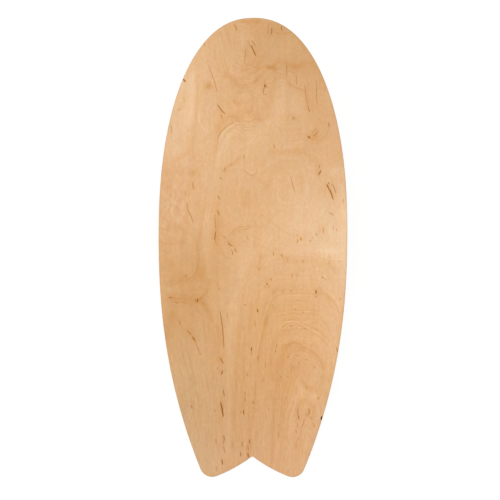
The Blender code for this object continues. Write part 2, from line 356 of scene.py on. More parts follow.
def tail_arches(ahead, right):
    """Arches open to the tail: each has a flat top across the deck and a long leg down either side."""
    top = through(-ahead, (-22, 0), (16, 1), (70, 2), (126, 3), (164, 4), (262, 5), (420, 6.2))
    leg = through(ahead, (-333, -37), (-245, -33), (-158, -27), (-115, -20), (-71, -11), (-21, 6))
    left = through(right - leg, (-36, 0), (0, 1), (36, 2), (56, 3), (74, 4), (117, 5))
    leg = through(-ahead, (0, 100), (80, 105), (137, 120), (175, 120), (219, 132), (300, 141))
    return least(2.2, top, left, through(right - leg, (-30, 5), (0, 4), (10, 3), (26, 2), (60, 1)))


def left_figure(ahead, right):
    """Down the left side: a band with a rounded foot, a swirl open to the nose, arches open to the tail."""
    edge = through(ahead, (145, -128), (175, -119), (231, -112), (273, -106), (343, -102))
    foot = through(ahead, (130, 0), (146, 1), (175, 2))
    band = least(2.0, foot, through(right - edge, (-30, 2), (0, 1), (16, 0.2)))
    edge = through(ahead, (-63, -74), (-28, -79), (15, -83), (60, -80), (102, -74), (189, -60))
    foot = through(ahead, (-100, 0), (-84, 1), (-62, 2), (-30, 3), (30, 4))
    swirl = through(right - edge, (-55, 4), (-36, 3), (-18, 2), (0, 1), (16, 0))
    swirl = least(1.6, foot, swirl, (130 - ahead) / 10)
    edge = through(-ahead, (90, -60), (128, -68), (154, -64), (202, -61), (330, -58))
    flank = through(-ahead, (90, -170), (150, -158), (220, -143), (300, -120), (380, -94))
    top = through(-ahead, (70, 0), (90, 1), (104, 2), (126, 3), (150, 4), (200, 6))
    legs = least(2.0, top, 1 + 4.5 * (edge - right) / (edge - flank))
    return band, swirl, legs


def nose_bowls(ahead, right):
    """Bowls that hang under the nose, with a shoulder towards the right rim."""
    low = through(right, (-62, 350), (-50, 318), (-42, 297), (-32, 285), (-15, 279), (6, 287), (20, 301),
                  (44, 320), (65, 316), (86, 312), (100, 326))
    return through(ahead - low, (-12, 0), (0, 1), (10, 2), (21, 3), (38, 3.6), (70, 4))


def right_patch(ahead, right):
    """The light patch below the bowls: between a rounded head and a bowl that climbs to the right rim."""
    foot = through(right, (20, 188), (37, 174), (65, 166), (85, 168), (100, 181), (120, 190), (131, 207),
                   (145, 240))
    head = through(right, (18, 215), (30, 245), (37, 281), (46, 291), (58, 289), (68, 281), (89, 271),
                   (95, 248), (110, 228), (140, 222))
    rise = through(ahead - foot, (-12, 0), (0, 1), (14, 2), (45, 2.6))
    return least(2.0, rise, through(head - ahead, (-12, 0), (0, 1), (12, 2), (45, 2.6)))


def middle_figure(ahead, right):
    """The middle: a plateau under a wavy arch, a light leg on its left side and a wide oval on its right."""
    arch = through(right, (-62, 180), (-55, 197), (-45, 205), (-32, 215), (-25, 212), (-16, 203), (-4, 207),
                   (9, 220), (22, 226), (34, 205), (50, 170), (75, 160), (100, 165), (120, 178), (150, 200))
    leg = through(ahead, (-40, -70), (12, -84), (47, -78), (82, -74), (134, -62), (190, -58))
    plateau = least(2.0, through(arch - ahead, (-14, 0), (0, 1), (14, 2), (60, 2.6)),
                    through(right - leg, (-14, 0), (0, 1), (14, 2), (50, 2.6)),
                    through(ahead, (-30, 0), (30, 2), (80, 3)))
    wide, far = np.abs(right - 74) / 70, np.abs(ahead - 90) / 76
    oval = 3.2 * np.exp(-(wide ** 2.4 + far ** 2.4) ** 1.3) + 0.8 * mound(126, 56, 18, 30, ahead, right)
    return plateau + oval


def growth_rings(ahead, right):
    """The ring that each place of the veneer was cut from: the greatest that any figure gives it."""
    figures = (tail_arches(ahead, right), *left_figure(ahead, right), nose_bowls(ahead, right),
               right_patch(ahead, right), middle_figure(ahead, right), 0 * ahead + 0.2)
    rings = -least(3.0, *(-figure for figure in figures))
    return rings + 0.8 * mound(246, 3, 13, 15, ahead, right)


def fan(ahead, right):
    """How far right a fibre lies where the deck is widest: fibres draw together as the flanks do."""
    share = np.clip((-ahead - 25) / 375, 0, 1)
    return right * (1 + 0.55 * share ** 2)


def off_path(path, ahead, right):
    """How far each place lies from a path's nearest point, that gap's right and ahead, and how far along.

    A path is a row of right and ahead pairs. Each of its spans is a start plus a share of the way to its end,
    and the share is the place's own, clipped from nought to one.
    """
    points = np.reshape(path, (-1, 2)).astype(float)
    spans = np.linalg.norm(np.diff(points, axis=0), axis=1)
    begun = np.concatenate(((0,), np.cumsum(spans)))
    place = np.stack((right, ahead), -1)
    best = np.full((len(place), 4), 1e6)
    for start, end, span, run in zip(points, points[1:], spans, begun):
        along = np.clip((place - start) @ (end - start) / span ** 2, 0, 1)
        off = place - start - along[:, None] * (end - start)
        found = np.column_stack((np.linalg.norm(off, axis=1), off, (run + along * span) / begun[-1]))
        best = np.where(found[:, :1] < best[:, :1], found, best)
    return best.T


def strokes_near(strokes, ahead, right):
    """Where each place lies off the nearest of some strokes, in half widths, and how strong that stroke is.

    The first two columns have the length 1 on a stroke's edge. A stroke draws to points at its ends, as the
    square root of the sine of its share of the way. The third column is its strength, which dies away from
    1.5 to 5 mm off its path.
    """
    best = np.tile((9.0, 9.0, 0.0, 99.0), (len(ahead), 1))
    for strength, width, *path in strokes:
        far, off_right, off_ahead, along = off_path(path, ahead, right)
        half = width / 2 * (0.5 + 0.5 * np.sqrt(np.sin(np.pi * np.clip(along, 0, 1))))
        nearest = np.clip((5 - far) / 3.5, 0, 1) * strength
        found = np.column_stack((off_right / half, off_ahead / half, nearest, far / half))
        best = np.where(found[:, 3:] < best[:, 3:], found, best)
    return best[:, :3]


# Some of these rows paint light and shade, not the wood's own tone: darker towards the tail, lighter over the
# right
# of the middle, and narrow strips along the rims, lighter on the right and darker on the left.
TONE_AND_PAINTED_LIGHT_PATCHES = (
    # how light, ahead, right, half length, half width
    (1.05, 255, -128, 120, 44),
    (-0.30, 200, -122, 48, 22),
    (-0.25, 385, 15, 18, 40),
    (0.20, 312, -78, 42, 28),
    (0.35, 95, 160, 60, 18),
    (0.25, -70, 160, 60, 20),
    (0.15, 65, -95, 45, 45),
    (0.25, 10, 75, 40, 42),
    (-0.22, -240, -40, 80, 22),
    (-0.22, -240, 38, 80, 22),
    (-0.25, -212, 85, 32, 22),
    (0.20, -310, 105, 40, 20),
    (1.60, 15, 172, 80, 90),
    (0.45, 180, -30, 60, 70),
    (-0.75, 335, 70, 70, 90),
    (-0.58, -85, -118, 60, 48),
    (-0.40, -170, -120, 130, 60),
    (-0.30, -290, -60, 100, 80),
    (-0.35, -150, 5, 110, 25),
    (0.45, -45, -5, 80, 40),
    (0.42, 252, 60, 32, 26),
    (0.28, 190, -38, 16, 12),
    (0.55, -170, 130, 110, 34),
    (0.45, 70, 70, 75, 60),
    (-0.25, -10, -120, 60, 50),
    (-0.38, -35, -66, 34, 34),
    (-0.20, -135, -120, 36, 40),
    (-0.20, -285, -25, 80, 40),
    (0.20, 325, -38, 26, 26),
    (0.25, 132, 132, 34, 20),
    (0.15, -65, 88, 36, 30),
    (0.25, -100, 150, 22, 14),
    (-0.18, -218, 55, 34, 30),
    (0.14, 90, -76, 30, 18),
    (-0.20, 235, 118, 34, 22),
    (0.12, 220, 5, 26, 26),
    (0.28, 299, -28, 17, 13),
    (-0.44, 255, 67, 17, 10),
    (0.36, 216, 40, 14, 11),
    (0.30, 191, 5, 12, 17),
    (-0.26, 190, -31, 22, 8),
    (0.30, 346, 59, 15, 15),
    (-0.42, 374, 40, 12, 24),
    (0.26, 165, -112, 13, 11),
    (0.26, 12, 20, 13, 14),
    (0.20, -16, -1, 10, 18),
    (-0.28, -75, -27, 20, 15),
    (-0.22, -46, -81, 22, 9),
    (-0.20, -31, -116, 12, 12),
    (-0.28, -23, -162, 24, 12),
    (0.16, -66, 65, 7, 36),
    (-0.36, -181, 70, 9, 17),
    (0.30, -135, 146, 55, 11),
    (-0.55, -150, -152, 30, 12),
    (-0.55, -285, -124, 26, 8),
    (0.40, -378, 84, 22, 13),
    (-0.18, -327, -82, 24, 22),
    (0.20, -378, -56, 11, 13),
    (0.50, 136, 163, 17, 10),
    (0.50, 60, 163, 16, 9),
    (0.18, 76, 103, 18, 20),
    (-0.18, 299, 121, 24, 12),
    (-0.14, 264, 108, 20, 14),
    (-0.30, -277, 6, 18, 8),
    (-0.18, -292, 50, 14, 14),
    (-0.36, -348, -2, 12, 8),
    (0.14, -165, 98, 28, 16),
    (-0.16, 18, 95, 11, 32),
    (-0.14, -115, 27, 20, 12),
    (-0.15, -232, 122, 11, 20),
    (-0.18, 107, 17, 10, 12),
    (0.14, 83, -83, 24, 12),
    (0.12, 150, -74, 24, 17),
    (0.22, 247, -17, 12, 9),
    (0.30, 186, -149, 34, 8),
    (-0.22, 125, -141, 12, 12),
    (-0.32, 85, -165, 14, 8),
    (0.20, 50, -74, 14, 10),
    (0.22, 50, 48, 10, 16),
    (0.12, 70, 22, 14, 14),
    (0.15, -22, 32, 34, 18),
    (0.28, -55, 163, 36, 8),
    (-0.24, -110, -83, 10, 16),
    (0.22, -127, -29, 14, 8),
    (0.24, -270, 109, 12, 9),
    (-0.16, 304, 108, 13, 26),
    (-0.18, 181, -87, 12, 8),
    (-0.16, 5, -39, 20, 12),
    (0.17, -228, -34, 24, 7),
    (0.15, -218, -109, 20, 8),
    (-0.16, -140, 20, 20, 9),
    (-0.15, 212, 64, 13, 12),
    (-0.15, 12, -88, 16, 10),
    (-0.15, 256, -54, 12, 14),
    (-0.14, 36, 128, 14, 14),
    (0.15, 190, 117, 10, 12),
    (0.14, 212, -116, 16, 12),
    (0.20, -178, 143, 24, 8),
)
COOL_PATCHES = (
    # how cool, below nought warm, then as above
    (-0.60, -140, 75, 120, 70),
    (-0.15, -260, 50, 80, 60),
    (0.70, -320, -115, 120, 60),
    (-0.20, 60, -10, 100, 60),
    (-0.20, 30, -65, 60, 30),
    (-0.30, 228, -38, 26, 34),
    (0.20, 350, 30, 60, 90),
    (0.20, 240, -140, 90, 30),
    (-0.12, 195, 110, 40, 40),
    (0.15, 50, 120, 90, 50),
    (0.35, -375, -75, 25, 30),
    (-0.16, -165, -45, 40, 25),
    (-0.20, -130, 0, 55, 22),
    (0.20, -285, 35, 45, 22),
    (0.15, -345, -10, 40, 40),
    (-0.25, -78, -108, 34, 34),
    (-0.50, -47, -92, 12, 9),
    (0.20, -222, -122, 44, 18),
    (-0.15, 330, 0, 34, 40),
    (0.20, 250, 78, 26, 24),
    (-0.10, -180, 25, 110, 45),
)
GREEN_PATCHES = (
    # how green, below nought reddish, then as above
    (-0.32, -365, 0, 75, 150),
    (0.20, -120, 50, 60, 60),
    (0.16, 190, -15, 50, 60),
    (0.25, 15, 150, 55, 40),
    (0.10, 20, 10, 110, 110),
    (-0.22, 85, -140, 70, 32),
    (-0.12, 270, 100, 70, 50),
    (0.14, 235, -115, 40, 36),
    (0.08, -90, -60, 60, 60),
)
STAINS = (
    # how brown, ahead, right, half length, half width
    (1.0, 281, -77, 9, 9),
    (2.2, 281, -78, 5, 5),
    (0.5, 232, -12, 12, 25),
    (0.4, 330, 4, 14, 16),
    (1.1, -47, -92, 13, 9),
    (0.5, -54, -122, 7, 16),
    (0.5, -32, -144, 10, 8),
    (0.5, -76, -79, 6, 5),
    (0.4, -60, -135, 14, 20),
    (0.8, -90, -118, 8, 42),
    (1.1, -93, -94, 8, 8),
    (0.8, 22, -62, 34, 7),
    (0.7, -64, 25, 10, 8),
    (0.8, -78, 111, 8, 8),
    (0.85, 193, 103, 11, 12),
    (0.6, 130, 114, 9, 5),
    (0.5, 100, 135, 14, 10),
    (1.1, 129, -105, 7, 8),
    (0.5, 130, -116, 7, 24),
    (0.6, 112, -105, 12, 4),
    (0.6, 160, -104, 20, 9),
    (0.5, 168, -113, 6, 4),
    (0.4, 105, -106, 8, 5),
    (0.5, 75, -95, 8, 8),
    (0.7, 88, -14, 14, 9),
    (0.8, 75, -13, 6, 6),
    (0.9, 227, 71, 5, 8),
    (0.8, 194, 109, 6, 8),
    (0.6, 221, 8, 9, 7),
    (0.6, 228, 24, 8, 5),
    (-0.6, 219, 27, 6, 6),
    (0.5, 252, -30, 7, 12),
    (0.7, -198, -56, 7, 6),
    (0.5, -150, -110, 8, 8),
    (0.7, -159, -102, 6, 5),
    (0.5, -120, -140, 18, 5),
    (0.5, 270, 28, 10, 6),
    (0.6, 340, 5, 8, 5),
    (0.5, 222, 10, 6, 8),
    (0.5, -36, 10, 6, 8),
    (-0.7, 231, 20, 3, 2),
    (-0.8, -84, 110, 2, 3),
    (-0.6, -50, 125, 3, 3),
    (-0.6, 77, -137, 4, 4),
    (-0.6, 60, -142, 6, 5),
    (-0.8, -250, 84, 10, 7),
    (-0.7, -232, 103, 7, 6),
    (-0.7, -231, 79, 6, 5),
    (0.8, -247, 107, 6, 8),
    (-0.7, 133, 86, 5, 4),
    (-0.5, 124, 98, 5, 5),
    (-1.1, 102, 93, 9, 4),
    (-1.3, 133, 140, 7, 8),
    (-0.8, -5, 132, 7, 14),
    (0.5, 137, 48, 10, 14),
    (0.5, 108, 82, 14, 6),
    (0.4, 95, 22, 16, 8),
    (0.6, 32, 118, 9, 8),
    (-0.5, 35, 85, 5, 13),
    (-0.6, 131, -88, 5, 4),
    (-0.4, 120, -86, 8, 6),
    (-0.5, -78, -30, 10, 9),
    (0.5, 105, -145, 14, 5),
    (0.4, 128, -152, 16, 5),
    (-0.5, 172, -132, 8, 7),
    (-0.4, 150, -118, 8, 8),
    (-0.6, -75, -143, 6, 7),
    (0.4, -120, -142, 10, 5),
    (1.2, 313, 31, 4, 7),
    (0.7, 312, 74, 6, 9),
    (0.5, 256, 92, 12, 4),
    (-0.4, 262, 46, 22, 10),
    (0.5, 222, -54, 7, 6),
    (-0.4, 254, 74, 18, 10),
    (0.4, 226, 66, 9, 14),
    (0.8, 133, 111, 8, 3),
    (0.6, 104, 124, 12, 5),
    (0.4, 45, 28, 5, 5),
    (0.7, 8, -38, 8, 8),
    (0.5, -18, 55, 6, 9),
    (0.6, -28, 128, 7, 9),
    (0.5, -26, 12, 16, 5),
    (0.6, -148, -77, 12, 5),
    (0.8, -192, -57, 6, 5),
    (0.5, -215, -57, 5, 4),
    (0.5, -210, 70, 8, 8),
    (0.4, -280, -55, 14, 5),
    (0.5, -286, 98, 6, 5),
    (0.6, 16, 84, 5, 6),
    (0.5, 207, -143, 10, 4),
)
BANDS = (
    # how brown, width, then the path: right and ahead of each point
    (0.6, 6, -49, 299, -38, 294, -30, 292, -20, 296, -10, 301, 0, 302, 8, 307, 14, 312),
    (0.4, 5, -44, 312, -36, 306, -26, 304, -14, 308, -4, 311, 6, 315),
    (0.4, 8, -38, 25, -26, 33, -6, 35),
    (-0.5, 6, -18, 386, -19, 370, -20, 352),
    (0.4, 7, 4, 386, 6, 366, 12, 346),
    (0.75, 8, 37, -79, 34, -90, 30.5, -103, 27, -118, 23.5, -132),
    (0.6, 7, 24, -122, 19, -142, 15, -160, 11, -180, 8, -200, 6, -225, 4, -255),
    (0.5, 9, 38, -76, 50, -74, 70, -73, 90, -74, 112, -78, 128, -84, 140, -95, 148, -112),
    (0.6, 11, 60, -172, 64, -167, 71, -165, 80, -168, 92, -177, 106, -182, 115, -191, 121, -205, 124, -225),
    (0.7, 8, 104, -184, 113, -192, 120, -201, 125, -210),
    (0.35, 12, 58, -174, 54, -190, 50, -210, 47, -240),
    (0.55, 8, 44, -190, 42, -215, 40, -250, 38, -285, 36, -320, 35, -375),
    (0.5, 13, 54, -230, 53, -270, 50, -330),
    (0.8, 7, 77, -300, 76, -286, 79, -273, 86, -266, 93, -266, 100, -270, 105, -279, 108, -295),
    (0.6, 5, 82, -224, 87, -233, 92, -243, 100, -250),
    (-0.5, 7, 74, -258, 72, -285, 69, -315, 67, -345, 65, -380),
    (-0.5, 9, 80, -240, 95, -252, 108, -260),
    (-0.5, 8, 13, -130, 8, -160, 3, -190, 1, -230, -1, -290),
    (0.4, 5, -5, -285, -6, -310, -6, -340, -8, -365),
    (0.4, 8, 3, -240, 3, -270, 2, -300),
    (0.5, 7, -31, -215, -31, -260, -33, -300, -36, -350),
    (0.3, 4, -53, -295, -52, -330, -50, -345),
    (-0.45, 12, -39, -100, -40, -150, -41, -200),
    (-0.7, 11, -41, -215, -41, -290, -42, -350),
    (0.5, 9, -20, -105, -24, -150, -28, -190),
    (0.4, 9, 40, -106, 55, -101, 75, -100, 95, -104, 112, -112),
    (0.5, 5, 91, -137, 101, -138, 111, -142, 119, -148, 126, -157),
    (1.2, 8, -86, -98, -79, -108, -75, -118, -71, -128),
    (0.7, 8, -61, -135, -58, -150, -55, -170),
    (0.4, 12, -60, -140, -58, -155, -56, -168),
    (0.4, 12, -70, -140, -64, -160, -58, -190),
    (0.7, 6, -93, 24, -96, 5, -96, -15, -94, -34),
    (0.5, 6, -78, -62, -79, -74, -84, -84),
    (-0.5, 8, -135, -72, -148, -74),
    (1.4, 7, 25, 314, 31, 313, 37, 311),
    (0.7, 6, 36, 317, 44, 323, 54, 323, 60, 319),
    (0.8, 10, 58, 317, 70, 314, 84, 318, 98, 322, 108, 313),
    (1.5, 7, -20, 394, -8, 392, 8, 393),
    (0.6, 6, 8, 392, 28, 389, 44, 384),
    (1.0, 8, -36, 286, -24, 278, -11, 278, -1, 284, 8, 294),
    (0.4, 6, -46, 302, -38, 293, -30, 289, -20, 289),
    (0.4, 6, 10, 318, 3, 308, -5, 302),
    (0.4, 7, -50, 318, -40, 296, -28, 285),
    (0.5, 9, 94, 285, 93, 262, 96, 240),
    (0.9, 6, 59, 286, 67, 280, 77, 277, 88, 273),
    (0.5, 7, 33, 292, 31, 275, 33, 250),
    (-0.3, 20, 52, 284, 48, 265, 52, 240),
    (-0.3, 20, 72, 270, 70, 250, 74, 232),
    (0.4, 5, 13, -10, 0, -22, -6, -40, -13, -70, -19, -100, -23, -150, -28, -204, -29, -250),
    (-0.5, 12, -10, -22, -20, -45, -28, -75, -33, -105),
    (-0.4, 24, -108, 292, -114, 250, -121, 215, -129, 185, -136, 166),
    (-0.6, 7, -106, 300, -106, 270, -108, 240, -112, 215),
    (0.5, 5, -119, 275, -121, 262, -125, 246, -130, 236),
    (0.8, 5, -97, 300, -98, 270, -99, 245, -101, 222),
    (0.6, 12, -101, 210, -103, 192, -108, 176, -114, 164, -126, 155, -138, 150),
    (0.5, 10, -64, 214, -66, 190, -66, 165),
    (1.0, 12, -60, 206, -52, 219, -40, 228, -27, 226),
    (1.0, 3.5, -61, 192, -55, 203, -48, 210, -41, 215, -35, 218),
    (0.6, 7, 6, 224, 14, 222),
    (-0.5, 14, -56, 165, -49, 186, -36, 202),
    (0.7, 9, 28, 166, 45, 166, 58, 166, 72, 169, 86, 166, 98, 160, 107, 152, 114, 142),
    (-0.5, 8, 50, 157, 66, 156, 80, 152, 92, 146, 99, 138),
    (-0.6, 6, 58, 178, 68, 175, 80, 182),
    (-0.5, 7, -58, 165, -63, 140, -69, 115, -72, 95, -75, 70, -79, 55),
    (-0.7, 10, -81, 54, -84, 35, -83, 15, -81, -5, -79, -30, -77, -50),
    (0.5, 5, -82, 105, -83, 75, -86, 50, -91, 25),
    (0.6, 10, -62, 75, -62, 50, -64, 10),
    (0.4, 7, 104, 186, 116, 190, 128, 200),
    (0.4, 8, 150, 170, 153, 140, 155, 115),
    (0.5, 4, 36, 373, 47, 371, 66, 374),
    (0.5, 5, 78, 360, 86, 350, 92, 340),
    (0.4, 8, 12, -60, 10, -80, 8, -105),
    (0.6, 14, 8, -46, 10, -28, 17, -14, 30, -11, 45, -17, 60, -23, 80, -24, 100, -22, 120, -28, 135, -31,
     146, -41),
    (-0.5, 11, 55, -5, 72, -6, 90, -6, 110, -5, 130, -6, 150, -14),
    (0.9, 6, -51, 132, -46, 140, -38, 144, -30, 149, -22, 156),
    (0.4, 9, -148, 40, -150, 20, -148, 5),
    (0.6, 8, -122, 42, -122, 20, -121, 5),
)


BARE_BIRCH = (222, 176, 128)
TINTS = (
    # red, green and blue that come with one step of light, cool, green and brown
    (12, 15, 20),
    (-8, 2, 9),
    (-4, 5, -1),
    (-5, -9, -14),
)
RING_PATCHES = (
    # how much plainer the rings show, then as above: in the arches and bowls, less in the light patches
    (0.6, -150, 60, 130, 90),
    (0.9, 220, -15, 26, 60),
    (-0.5, 262, 62, 24, 28),
    (0.9, 300, 0, 34, 70),
    (0.2, -75, -115, 50, 50),
    (0.4, 285, 60, 20, 45),
    (0.4, 175, 85, 14, 55),
    (0.5, -260, -120, 90, 30),
    (-0.6, -222, 88, 34, 26),
    (-0.25, -40, -32, 40, 36),
    (-0.5, 198, 10, 26, 18),
    (0.3, -350, 30, 90, 60),
)
CURL_PATCHES = (
    # how curly the fibres run, then as above: most down the left side of the middle
    (1.0, 60, -140, 80, 40),
    (0.3, -60, -80, 30, 40),
    (0.6, 262, -15, 50, 50),
    (0.3, 110, 30, 60, 60),
)
BARK_SPOTS = (
    # how dark, then as above: a black spot of ingrown bark at the rim by the tail, a brown one by the nose
    (1.0, -296.8, 120.6, 3.5, 1.7),
    (0.55, 291, -121, 2.3, 1.9),
)


def mounds(patches, ahead, right):
    """The sum of a table's bells, each times its amount."""
    return sum(amount * mound(*patch, ahead, right) for amount, *patch in patches)


def face_tone(ahead, right):
    """The veneer's broad colour: birch with lighter, cool and greenish patches, stains and ring bands, and
    painted light and shade.
    """
    light, cool, green, brown = [mounds(patches, ahead, right)
                                 for patches in (TONE_AND_PAINTED_LIGHT_PATCHES, COOL_PATCHES, GREEN_PATCHES, STAINS)]
    for amount, width, *path in BANDS:
        brown += amount * np.exp(-(2 * off_path(path, ahead, right)[0] / width) ** 2)
    light = light_from(np.stack((light - 0.43, cool - 0.05, green, brown), -1) @ TINTS + BARE_BIRCH)
    return np.column_stack((light, np.ones(len(light))))


